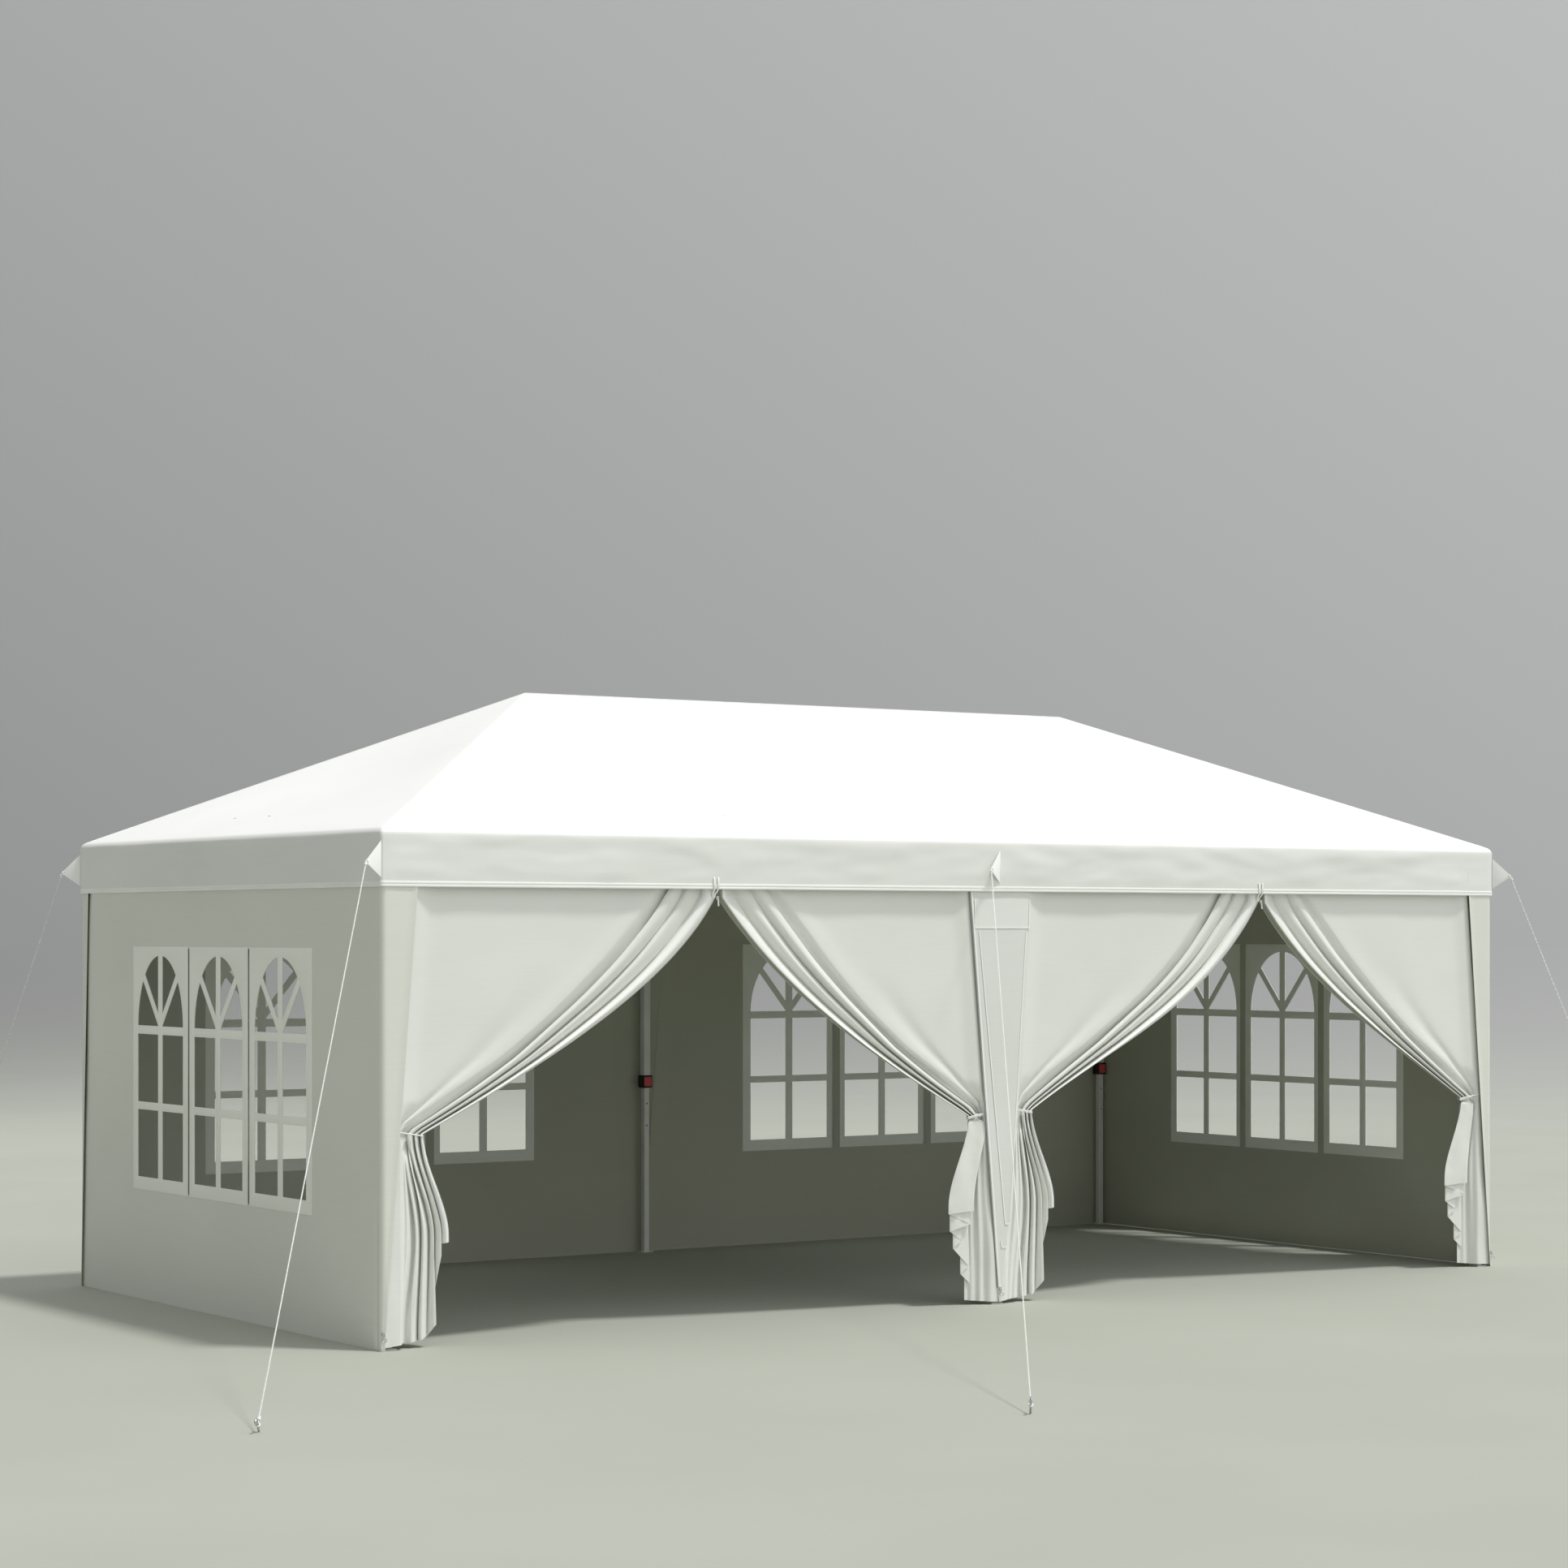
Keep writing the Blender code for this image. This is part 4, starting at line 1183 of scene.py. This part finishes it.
def fold_line(kind, line, station, start):
    """(distance, depth) of a fold line at one station of the free edge."""
    edge, height, slope = station
    high_place, high_swing, low_place, low_swing = FOLDS[line]
    place = high_place + (low_place - high_place) * near_cord(height)
    swing = high_swing + (low_swing - high_swing) * near_cord(height)
    room = edge - start
    width = gather_width(height) / math.sin(slope)
    distance = min(place, 1.0) * min(width, 0.60 * room)
    distance = edge - min(distance + max(place - 1.0, 0.0) * width, 0.80 * room)
    valley = PLEAT_DEPTH[kind] * valley_depth(height)
    depth = CURTAIN_DEPTH - swing * (crest_height(height) if swing > 0 else valley)
    if line >= EDGE_LINE:
        depth += EDGE_TURN[kind] * ease(0.84, 1.10, height) * ease(1.79, 1.72, height)
    return distance, depth


def fold_section(lines, zone, share, height):
    """A point between two fold lines above the cord."""
    high = HIGH_SHAPES[zone] if zone < len(HIGH_SHAPES) else "pleat"
    one = between(lines[zone], lines[zone + 1], share, high)
    two = between(lines[zone], lines[zone + 1], share, "pleat" if zone else "soft")
    low = near_cord(height)
    return one[0] + (two[0] - one[0]) * low, one[1] + (two[1] - one[1]) * low


def between(first, last, share, shape):
    """A point between two fold lines: on a line, a stacked turn, a soft swell or a puffed pleat."""
    swell = (1 - math.cos(math.pi * share)) / 2
    if shape == "line":
        across, deep = share, share
    elif shape == "stack":
        across, deep = swell, share
    elif shape == "soft":
        across, deep = share, swell
    elif first[1] < last[1]:
        across, deep = math.sin(math.pi / 2 * share), swell
    else:
        across, deep = 1 - math.sin(math.pi / 2 * (1 - share)), swell
    return (first[0] + (last[0] - first[0]) * across, first[1] + (last[1] - first[1]) * deep)


def flat_point(spec, station, start, end, share, seed):
    """A point of the flat cloth between the leg's strip and the gathers."""
    height = station[1]
    distance = start + (end[0] - start) * share
    beside = beside_leg(spec, height)
    knee = max(start, spec["offset"] + FOOT_KNEE)
    ramp = min(0.10, 0.6 * (end[0] - knee))
    depth = beside + (CURTAIN_DEPTH - beside) * ease(knee, knee + ramp, distance)
    near = ease(1.50, 1.10, height)
    depth += 0.007 * near * math.exp(-((share - 0.76) / 0.10) ** 2)
    clear = ease(knee - 0.002, knee + 0.020, distance)
    depth += clear * (end[1] - CURTAIN_DEPTH) * math.exp(-((end[0] - distance) / 0.065) ** 2)
    fade = ease(0.0, 0.15, distance - start) * ease(0.0, 0.1, end[0] - distance)
    depth += 0.0035 * fade * ripple(distance * 2.2, height * 1.6, seed)
    depth += 0.0014 * fade * ripple(distance * 7.0, height * 5.0, seed + 5.0)
    return distance, depth


def beside_leg(spec, height):
    """Depth of the flat cloth where it passes in front of its leg."""
    if spec["kind"] == "left":
        return 0.0070 if spec["offset"] else 0.0110
    return 0.0130 + 0.004 * ease(0.25, 0.5, height)


def tail_profile(spec):
    """Wide place, foot place, hem height, depth and neck place of each fold line."""
    stretch = spec["stretch"]
    right = spec["kind"] == "right"
    shift = CORNER_SHIFT if right and spec["offset"] else 0.0
    lines = []
    for line, (wide, foot, hem, depth) in enumerate(TAILS[spec["kind"]]):
        neck = NECK[spec["offset"]][min(line, 9) % 2] if right else None
        lines.append(((wide + shift) * stretch, (foot + shift) * stretch, hem, depth, neck))
    return lines


def curtain_columns():
    """(zone, share) for each column, from the leg's side to the free edge."""
    columns = [(-1, step / FLAT_COLUMNS) for step in range(FLAT_COLUMNS)]
    for zone in range(len(FOLDS) - 1):
        steps = BROAD_STEPS if zone < BROAD_ZONES else PLEAT_STEPS
        columns += [(zone, step / steps) for step in range(steps)]
    columns.append((len(FOLDS) - 2, 1.0))
    return columns


def curtain_row(spec, station, columns, seed):
    """The curtain's points at one station of its free edge."""
    height = station[1]
    start = leg_side(spec, height)
    lines = [fold_line(spec["kind"], line, station, start) for line in range(len(FOLDS))]
    row = []
    for zone, share in columns:
        if zone < 0:
            distance, depth = flat_point(spec, station, start, lines[0], share, seed)
        else:
            distance, depth = fold_section(lines, zone, share, height)
        row.append((distance, depth, height))
    return row


def make_curtain(name, spec, seed):
    """Returns the rows of places and the columns that the cord and the zip follow."""
    columns = curtain_columns()
    rows = [curtain_row(spec, station, columns, seed) for station in edge_stations(spec)]
    rows += tail_rows(spec, columns, rows[-1])
    placed = [[curtain_place(spec, *point) for point in row] for row in rows]
    curtain_mesh(name, spec, placed)
    return placed, columns


def tail_target(spec, lines, zone, share):
    """What a column falls to: (share of the flat cloth, (wide place, depth), foot, hem, neck)."""
    if zone < 0:
        wide, foot, hem, deep, neck = lines[0]
        hem = WALL_BOTTOM + (hem - WALL_BOTTOM) * share
        return share, (wide, deep), foot, hem, neck
    first, last = lines[zone], lines[zone + 1]
    shape = "stack" if spec["kind"] == "right" else "pleat"

    def blend(value):
        return between((first[value], first[3]), (last[value], last[3]), share, shape)

    neck = blend(4)[0] if first[4] is not None else None
    return None, blend(0), blend(1)[0], blend(2)[0], neck


def tail_rows(spec, columns, tied):
    """Rows from the cord down to the uneven hem."""
    lines = tail_profile(spec)
    targets = [tail_target(spec, lines, zone, share) for zone, share in columns]
    rows = []
    for step in range(1, TAIL_STEPS + 1):
        down = (step / TAIL_STEPS) ** 1.25
        rows.append([tail_point(spec, target, start, down) for target, start in zip(targets, tied)])
    return rows


def foot_shift(wide, foot, height):
    return (foot - wide) * ease(TAIL_WIDEST, TAIL_NARROWS, height)


def flat_tail_point(spec, target, start, height, spread):
    """(distance, depth) of a tail's flat cloth, which stays shallow beside the leg."""
    share, (wide, deep), foot, _, _ = target
    top = start[2]
    side = leg_side(spec, height)
    edge = FLAT_EDGE + (wide - FLAT_EDGE) * spread + foot_shift(wide, foot, height)
    distance = side + (edge - side) * share
    distance = start[0] + (distance - start[0]) * ease(top, top - 0.10, height)
    knee = max(side, spec["offset"] + FOOT_KNEE)
    beside = beside_leg(spec, height)
    past_knee = ease(knee, knee + 0.030, distance)
    panel = beside + (TAIL_DEPTH - beside) * past_knee
    fall = ease(0.72, 1.0, share) if spec["kind"] == "left" else ease(0.15, 1.0, share) * 0.9
    fall *= ease(knee - 0.002, knee + 0.02, distance)
    depth = panel + (deep - TAIL_DEPTH) * fall
    depth += 0.0032 * math.sin(22.0 * share) * past_knee
    return distance, depth


def tail_point(spec, target, start, down):
    """A point of the tail, down (0 to 1) on the way from the cord to the hem."""
    share, (wide, deep), foot, hem, neck = target
    place, start_depth, top = start
    height = top + (hem - top) * down
    spread = ease(top, max(hem, TAIL_WIDEST), height)
    if share is not None:
        distance, depth = flat_tail_point(spec, target, start, height, spread)
    else:
        if neck is not None:
            place += (neck - place) * ease(top, top - NECK_DROP, height)
        distance = place + (wide - place) * spread
        distance += foot_shift(wide, foot, height)
        depth = deep
    settle = 0.12 if neck is None else 0.03
    depth = start_depth + (depth - start_depth) * ease(top, top - settle, height)
    sway = ease(top, top - 0.20, height)
    depth += 0.0035 * sway * ripple(distance * 16.0, height * 4.5, 40.0 + round(deep * 200.0))
    if neck is not None:
        loose = ease(top, top - 0.05, height)
        depth += crumple(distance, height) * loose * ease(0.045, 0.026, deep)
    return distance, depth, height


def crumple(distance, height):
    """Soft upright folds and a few small wrinkles, as in thin cloth that was bunched up."""
    slant = ripple(distance * 26.0 + height * 5.0, height * 4.5, 70.0)
    fine = ripple(distance * 30.0, height * 22.0 - distance * 12.0, 80.0)
    return 0.0060 * slant + 0.0014 * fine


def curtain_place(spec, distance, depth, height):
    """Turns (distance, depth, height) into a place. Deep folds lean the same way, as combed."""
    lean = FOLD_LEAN * ease(0.0, 0.06, distance - spec["offset"] - FOOT_KNEE)
    return (spec["leg"] + spec["way"] * distance + lean * (depth - CURTAIN_DEPTH),
            -HALF_Y + depth, height)


def cloth_distances(placed):
    """Distances across and down the cloth to each of its points, in metres."""
    down = np.zeros(len(placed[0]))
    coordinates = []
    for before, row in zip(placed[:1] + placed, placed):
        down = down + [math.dist(a, b) for a, b in zip(before, row)]
        coordinates.append(list(zip(run_along(row), down)))
    return coordinates


def shade_edge(mesh, placed):
    """Paints shade on the free edge where it turns under, above the cord, with the darker inner
    cloth.
    """
    last = len(placed[0]) - 1
    above_cord = len(placed) - TAIL_STEPS - 1
    for face in mesh.polygons:
        row, column = divmod(face.index, last)
        face.material_index = column >= last - SHADED_EDGE and row < above_cord


def curtain_mesh(name, spec, placed):
    made = grid(name + "_sheet", placed, uv=cloth_distances(placed))
    if spec["kind"] == "right":
        shade_edge(made.data, placed)
    if spec["way"] > 0:
        made.data.flip_normals()
    # The second cloth is painted shade for the turned edge.
    thickened(made, [CURTAIN_CLOTH, SHADED_INNER_CLOTH])
    finished(made, CURTAIN_CLOTH, stands_for=[name])


# Cords that tie the curtains back, round each gathered curtain and its leg
CORD_HALF = (0.0016, 0.0026)    # half the cord's thickness and half its height
CORD_ABOVE = 0.023              # from the curtain's tied section up to its cord, at the leg
CORD_FALL = 0.030               # how much lower the cord runs at the free edge
TURN_GAP = 0.006                # between two turns of the cord
KNOT_SHARE = 0.72               # the knot's place on the way from the leg to the free edge
KNOT_TILTS = [(1, 0.3, 0.5), (0.6, 0.2, -1), (0.2, 0.1, 1)]
CORD_TAILS = [(-1, 0.026), (1, 0.018)]      # each loose end: its side of the knot and its drop
ONE_TURN = "left_door_left_curtain"         # the curtain whose cord has no second turn or knot


def oval_section(half_wide, half_high):
    return [(half_wide * math.cos(math.radians(30 * side)),
             half_high * math.sin(math.radians(30 * side))) for side in range(12)]


def taut_loop(points, grow):
    """The points of a cord pulled tight round plan points, spread out evenly."""
    hull = [Vector(points[index]) for index in convex_hull_2d([tuple(p) for p in points])]
    centre = sum(hull, Vector((0.0, 0.0))) / len(hull)
    hull = [corner + (corner - centre).normalized() * grow for corner in hull]
    loop = []
    for first, last in zip(hull, hull[1:] + hull[:1]):
        steps = max(int((last - first).length / 0.008), 1)
        loop += [first.lerp(last, step / steps) for step in range(steps)]
    for _ in range(2):
        loop = [(a + b * 2 + c) / 4 for a, b, c in zip(loop[-1:] + loop, loop, loop[1:] + loop[:1])]
    return loop


def ring_round(name, centre, axis, radius, thickness, steps=20):
    axis = Vector(axis).normalized()
    first = axis.orthogonal().normalized()
    second = axis.cross(first)
    path = [Vector(centre) + (first * math.cos(2 * math.pi * step / steps)
                              + second * math.sin(2 * math.pi * step / steps)) * radius
            for step in range(steps)]
    return swept(name, path, circle(thickness), closed=True, up=axis)


def tie_turn(name, spec, plan, turn, middle):
    """The first turn goes round the curtain and its leg, the second only round the gathers."""
    if turn:
        clear = spec["offset"] + FOOT_KNEE + 0.01
        around = [p for p in plan if abs(p.x - spec["leg"]) > clear]
    else:
        leg = Vector((spec["leg"] + spec["way"] * spec["offset"], -LEG_Y))
        around = plan + [leg + Vector((x, y)) * COLLAR_HALF for x in (-1, 1) for y in (-1, 1)]
    path = []
    for point in taut_loop(around, CORD_HALF[0] + 0.0012 + 0.0008 * turn):
        share = spec["way"] * (point.x - spec["leg"]) / spec["tie"][0]
        height = middle + CORD_ABOVE - CORD_FALL * share - TURN_GAP * turn
        path.append((point.x, point.y, height))
    return swept(name + "_turn", path, oval_section(*CORD_HALF), closed=True)


def tie_knot(name, knot):
    """A knot of three tilted rings, with two loose ends."""
    pieces = [ring_round(name + "_knot", knot, tilt, 0.0042, 0.0024) for tilt in KNOT_TILTS]
    for side, drop in CORD_TAILS:
        path = [knot + Vector((side * 0.013 * t, -0.004 * math.sin(3 * t),
                               -drop * t * t + 0.006 * t)) for t in (0.0, 0.2, 0.4, 0.6, 0.8, 1.0)]
        pieces.append(swept(name + "_tail", path, circle(0.0019)))
    return pieces


def make_tie(name, spec, row, turns):
    """row is the curtain's section at the cord, in places."""
    plan = [Vector(place[:2]) for place in row]
    middle = row[0][2]
    pieces = [tie_turn(name, spec, plan, turn, middle) for turn in range(turns)]
    if turns > 1:
        front = min(plan, key=lambda p: p.y)
        across = spec["leg"] + spec["way"] * spec["tie"][0] * KNOT_SHARE
        pieces += tie_knot(name, Vector((across, front.y + 0.004, middle + 0.001)))
    finished(joined(name, pieces), ROPE)


# Zips: a coil and a tape down each free edge, a slider with its pull, and doubled straps
COIL = 0.0017
# A left curtain's tape is wider than a zip's, so its whiter cloth also paints the highlight along
# the free edge.
TAPE_START = {"left": 2, "right": 7}    # columns of points from the edge to where the tape runs
TAPE_END = {"left": 13, "right": 10}
SLIDER = [(-0.0040, -0.006), (-0.0028, -0.0075), (0.0028, -0.0075), (0.0040, -0.006),
          (0.0050, 0.004), (0.0036, 0.0068), (-0.0036, 0.0068), (-0.0050, 0.004)]
PULL_TAB = [(-0.0034, -0.030), (-0.0020, -0.033), (0.0020, -0.033), (0.0034, -0.030),
            (0.0026, -0.004), (0.0012, -0.002), (-0.0012, -0.002), (-0.0026, -0.004)]
PULL_HOLE = -0.0275
PULL_RINGS = (0.0068, 0.0078)


def make_edge_zip(name, spec, rows, columns):
    """The coil on a curtain's free edge and the tape on the fold beside it; a left curtain's wide
    tape also paints the highlight along its edge.
    """
    last = columns.index((EDGE_LINE, 0.0))
    path = [Vector(row[last]) + Vector((spec["way"] * 0.0012, -0.0012, 0.0)) for row in rows[4:]]
    coil = swept(name + "_zip_coil", path, circle(COIL), up=FRONT)
    finished(coil, ZIP_COIL)
    ribbon = []
    coordinates = []
    taped = range(last - TAPE_START[spec["kind"]], last - TAPE_END[spec["kind"]], -1)
    for row in rows[4:]:
        ribbon.append([Vector(row[column]) + Vector((0.0, -0.0009, 0.0)) for column in taped])
        coordinates.append([(row[last][2], 0.003 * step) for step in range(len(taped))])
    tape = grid(name + "_zip_tape", ribbon, uv=coordinates)
    if spec["way"] < 0:
        tape.data.flip_normals()
    thickened(tape, [ZIP_TAPE], None, 0.0006, side=0.0)
    finished(tape, ZIP_TAPE)


def slider_body(name, place):
    """The slider and the bridge that its pull hangs from."""
    matrix = standing(place, ALONG, FRONT)
    bridge = [matrix @ Vector((0.0, 0.0055 * math.cos(t), 0.0022 + 0.0028 * math.sin(t)))
              for t in (math.pi * step / 8 for step in range(9))]
    return [plate(name, SLIDER, (), 0.0046, 0.0008, matrix),
            swept(name, bridge, circle(0.0010), up=ALONG)]


def ring_pull(name, place):
    """Two linked rings."""
    rings = []
    for number, radius in enumerate(PULL_RINGS):
        centre = place + FRONT * (0.005 + 0.001 * number)
        centre += Vector((0.003 * number, 0.0, -0.008 - 0.0145 * number))
        axis = FRONT + Vector((0.5 - 1.0 * number, 0.0, 0.1))
        rings.append(ring_round(name, centre, axis, radius, 0.0014, 24))
    return rings


def tab_pull(name, place):
    """A flat tab with a hole near its end."""
    hole = [(x, PULL_HOLE + z) for x, z in circle(0.0014)]
    hung = standing(place + FRONT * 0.0048, (1, 0.0, 0.05), FRONT)
    return [plate(name, PULL_TAB, [hole], 0.0014, 0.0004, hung)]


def make_slider(name, place, pull, finish):
    """pull is ring_pull or tab_pull."""
    place = Vector(place)
    pieces = slider_body(name, place) + pull(name, place)
    finished(joined(name, pieces), finish)


# A head strap from above the hem down to the zip's head: (distance from the head's middle,
# distance in front of the valance, height over the hem's edge)
STRAP = [(0.010, 0.0012, 0.048), (0.010, 0.0038, 0.043), (0.0095, 0.0046, 0.022),
         (0.009, 0.0044, 0.001), (0.008, -0.004, -0.008), (0.005, -0.014, -0.020),
         (0.003, -0.019, -0.034)]
STRAP_HALF = (0.0036, 0.0008)   # half a strap's width and half its thickness
STRAP_SHIFT = -0.020            # from the zip's slider to the straps' middle
DOOR_ZIPS = [("left_door", -1.4225), ("right_door", 1.4985)]
DOOR_ZIP_DEPTH = 0.0195
DOOR_ZIP_HEIGHT = 1.7225

# The sliders at the strips' feet: (strip, place along the tent, depth of the strip)
STRIP_ZIPS = [("front_left", -HALF_X + 0.010, WALL_FACE), ("front_middle", 0.004, MIDDLE_DEPTH),
              ("front_right", HALF_X - 0.010, WALL_FACE)]
STRIP_ZIP_HEIGHT = 0.066


def make_door_head(name, x):
    """Two straps over the hem and the slider of the closed zip under them."""
    wide, thick = STRAP_HALF
    section = [(-wide, -thick), (wide, -thick), (wide, thick), (-wide, thick)]
    for side in (-1, 1):
        path = [(x + STRAP_SHIFT + side * across, -HALF_Y - forward, VALANCE_BOTTOM + height)
                for across, forward, height in STRAP]
        strap = swept(name + "_strap_" + ("left" if side < 0 else "right"), path, section, up=FRONT)
        finished(strap, ZIP_TAPE)
    place = (x, -HALF_Y + DOOR_ZIP_DEPTH, DOOR_ZIP_HEIGHT)
    make_slider(name + "_zip_slider", place, tab_pull, WHITE_STEEL)


for number, (name, spec) in enumerate(CURTAINS.items()):
    rows, columns = make_curtain(name, spec, 50.0 + 10 * number)
    tied = rows[len(HEAD_ROWS) + EDGE_STEPS]
    make_tie(name + "_tie", spec, tied, 1 if name == ONE_TURN else 2)
    make_edge_zip(name, spec, rows, columns)

for name, x in DOOR_ZIPS:
    make_door_head(name, x)
for name, x, depth in STRIP_ZIPS:
    place = (x, -HALF_Y + depth - 0.0030, STRIP_ZIP_HEIGHT)
    make_slider(name + "_strip_zip_slider", place, ring_pull, NICKEL)


# Guy tabs, ropes and the pegs that hold them
TAB_TOP = 1.930
TAB_BOTTOM = 1.793
TAB_TIP = 1.850
TAB_REACH = 0.085
TAB_HOLE = TAB_REACH - 0.012
PEG_LEAN = 0.035            # from the ground to the rope's loop, up along the peg
ROPE_RADIUS = 0.0030
ROPE_STEP = 0.007
ROPE_LAY = 0.030            # length in which the strands turn once

# Each front guy: its name, the name of the rear one across the tent's middle from it, its side,
# where its tab points in degrees, and how far outside the tent its peg stands
GUYS = [
    ("left", "right", -1, 200, (1.27, 1.62)), ("middle", "middle", 0, 205, (-1.94, 2.67)),
    ("right", "left", 1, 318, (0.42, 0.66)),
]


def rope_section():
    """Three strands laid together, as seen across the rope."""
    section = []
    for side in range(12):
        angle = math.radians(30 * side)
        radius = (0.78 + 0.22 * math.cos(3 * angle)) * ROPE_RADIUS
        section.append((radius * math.cos(angle), radius * math.sin(angle)))
    return section


def on_tab(root, out, reach):
    """The place on a tab's middle line that far from the valance."""
    return root + out * reach + UP * TAB_TIP


def make_tab(name, root, out, side):
    hole = [(TAB_HOLE + x, TAB_TIP + z) for x, z in circle(0.0028, 12)]
    outline = [(0.0, TAB_BOTTOM), (TAB_REACH - 0.008, TAB_TIP - 0.007),
               (TAB_REACH, TAB_TIP - 0.003), (TAB_REACH, TAB_TIP + 0.003),
               (TAB_REACH - 0.008, TAB_TIP + 0.008), (0.0, TAB_TOP)]
    tab = plate(name + "_tab", outline, [hole], 0.0024, 0.0005, standing(root, out, side))
    # The tab takes the roof's brighter cloth: painted light.
    finished(tab, ROOF_LIGHT_CLOTH)


def peg_place(tip, along, across, offset):
    """Where a peg enters the ground, and the way that it stands: square to its rope."""
    outward = along if along else -across
    ground = Vector((along * HALF_X + outward * offset[0], across * (HALF_Y + offset[1]), 0.0))
    pull = (ground - tip).normalized()
    flat = Vector((pull.x, pull.y, 0.0)).normalized()
    return ground, Vector((flat.x * -pull.z, flat.y * -pull.z, math.hypot(pull.x, pull.y)))


def make_rope(name, start, run):
    steps = int(run.length / ROPE_STEP)
    path = [start + run * (step / steps) for step in range(steps + 1)]
    rope = swept(name + "_rope", path, rope_section(), turns=run.length / ROPE_LAY)
    finished(rope, ROPE, stands_for=[name + "_guy_rope"])


def rope_turns(name, start, run):
    """Three turns of rope round itself at each end."""
    turns = []
    for low, radius in ((0.010, 0.0042), (run.length - 0.030, 0.0046)):
        for turn in range(3):
            spot = start + run.normalized() * (low + 0.005 * turn)
            turns.append(ring_round(name + "_turn", spot, run, radius, 0.0024))
    return turns


def make_guy(name, along, across, heading, offset):
    out = Vector((math.cos(math.radians(heading)), math.sin(math.radians(heading)), 0.0))
    side = Vector((out.y, -out.x, 0.0))
    root = Vector((along * (HALF_X - 0.001), across * (HALF_Y - 0.001), 0.0))
    make_tab(name, root, out, side)
    tip = on_tab(root, out, TAB_REACH)
    ground, lean = peg_place(tip, along, across, offset)
    grip = ground + lean * PEG_LEAN
    start = tip - out * 0.003
    make_rope(name, start, grip - start)
    knots = rope_turns(name, start, grip - start)
    slant = side.cross(Vector((0.2, 0.1, 1.0)))
    knots.append(ring_round(name + "_eye_loop", on_tab(root, out, TAB_REACH - 0.007), slant,
                            0.0070, 0.0022))
    knots.append(ring_round(name + "_peg_loop", grip, lean, 0.0068, 0.0026))
    finished(joined(name + "_rope_knots", knots), ROPE)
    eyelet = ring_round(name + "_tab_eyelet", on_tab(root, out, TAB_HOLE), side, 0.0036, 0.0012)
    finished(eyelet, NICKEL)


for name, _, side, heading, offset in GUYS:
    make_guy("front_" + name, side, -1, heading, offset)
for _, name, side, heading, offset in GUYS:
    make_guy("back_" + name, -side, 1, heading - 180, offset)


# The frame that shows: steel tubes, feet and pegs keep their solids and get their metal
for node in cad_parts:
    kept = bpy.data.objects.get(node)
    if kept is None or kept.type != "MESH":
        continue
    steel = GALVANISED if node.endswith("peg") else WHITE_STEEL
    if not kept.data.materials:
        kept.data.materials.append(steel)
    for index in range(len(kept.data.materials)):
        kept.data.materials[index] = steel


# Locks: a housing round each leg's collar, as (width, height) from below, and its button
LOCK_LOW = COLLAR_BOTTOM - 0.001
LOCK_HIGH = COLLAR_BOTTOM + COLLAR_HEIGHT + 0.001
LOCK_ROUND = 0.005
LOCK_PROFILE = [(0.0325, LOCK_LOW), (0.0500, LOCK_LOW), (0.0530, LOCK_LOW + 0.002),
                (0.0530, LOCK_HIGH - 0.002), (0.0500, LOCK_HIGH), (0.0390, LOCK_HIGH)]
BUTTON = [(-0.019, -0.0176), (-0.0152, -0.022), (0.0152, -0.022), (0.019, -0.0176),
          (0.019, 0.0176), (0.0152, 0.022), (-0.0152, 0.022), (-0.019, 0.0176)]


def rounded_square(size, centre, height):
    ring = []
    for quarter in range(4):
        middle = math.radians(45 + 90 * quarter)
        centre_x = centre[0] + math.copysign(size / 2 - LOCK_ROUND, math.cos(middle))
        centre_y = centre[1] + math.copysign(size / 2 - LOCK_ROUND, math.sin(middle))
        for step in range(4):
            angle = math.radians(90 * quarter + 30 * step)
            ring.append((centre_x + LOCK_ROUND * math.cos(angle),
                         centre_y + LOCK_ROUND * math.sin(angle), height))
    return ring


def make_lock(name, centre, inward):
    """A black lock housing round the collar, with its red button on the inward face."""
    rows = [rounded_square(size, centre, height) for size, height in LOCK_PROFILE]
    housing = grid(name + "_lock_housing", rows, closed=True)
    keep_sharp(housing.data, HOUSING_CREASE)
    finished(housing, BLACK_PLASTIC)
    face = (centre[0] - 0.002, centre[1] + inward * COLLAR_HALF, (LOCK_LOW + LOCK_HIGH) / 2)
    button = plate(name + "_lock_button", BUTTON, (), 0.006, 0.0015,
                   standing(face, ALONG, -FRONT * inward))
    finished(button, RED_PLASTIC)


for row, across in (("front", -1), ("back", 1)):
    for column, along in (("left", -1), ("middle", 0), ("right", 1)):
        make_lock(row + "_" + column, (along * LEG_X, across * LEG_Y), -across)
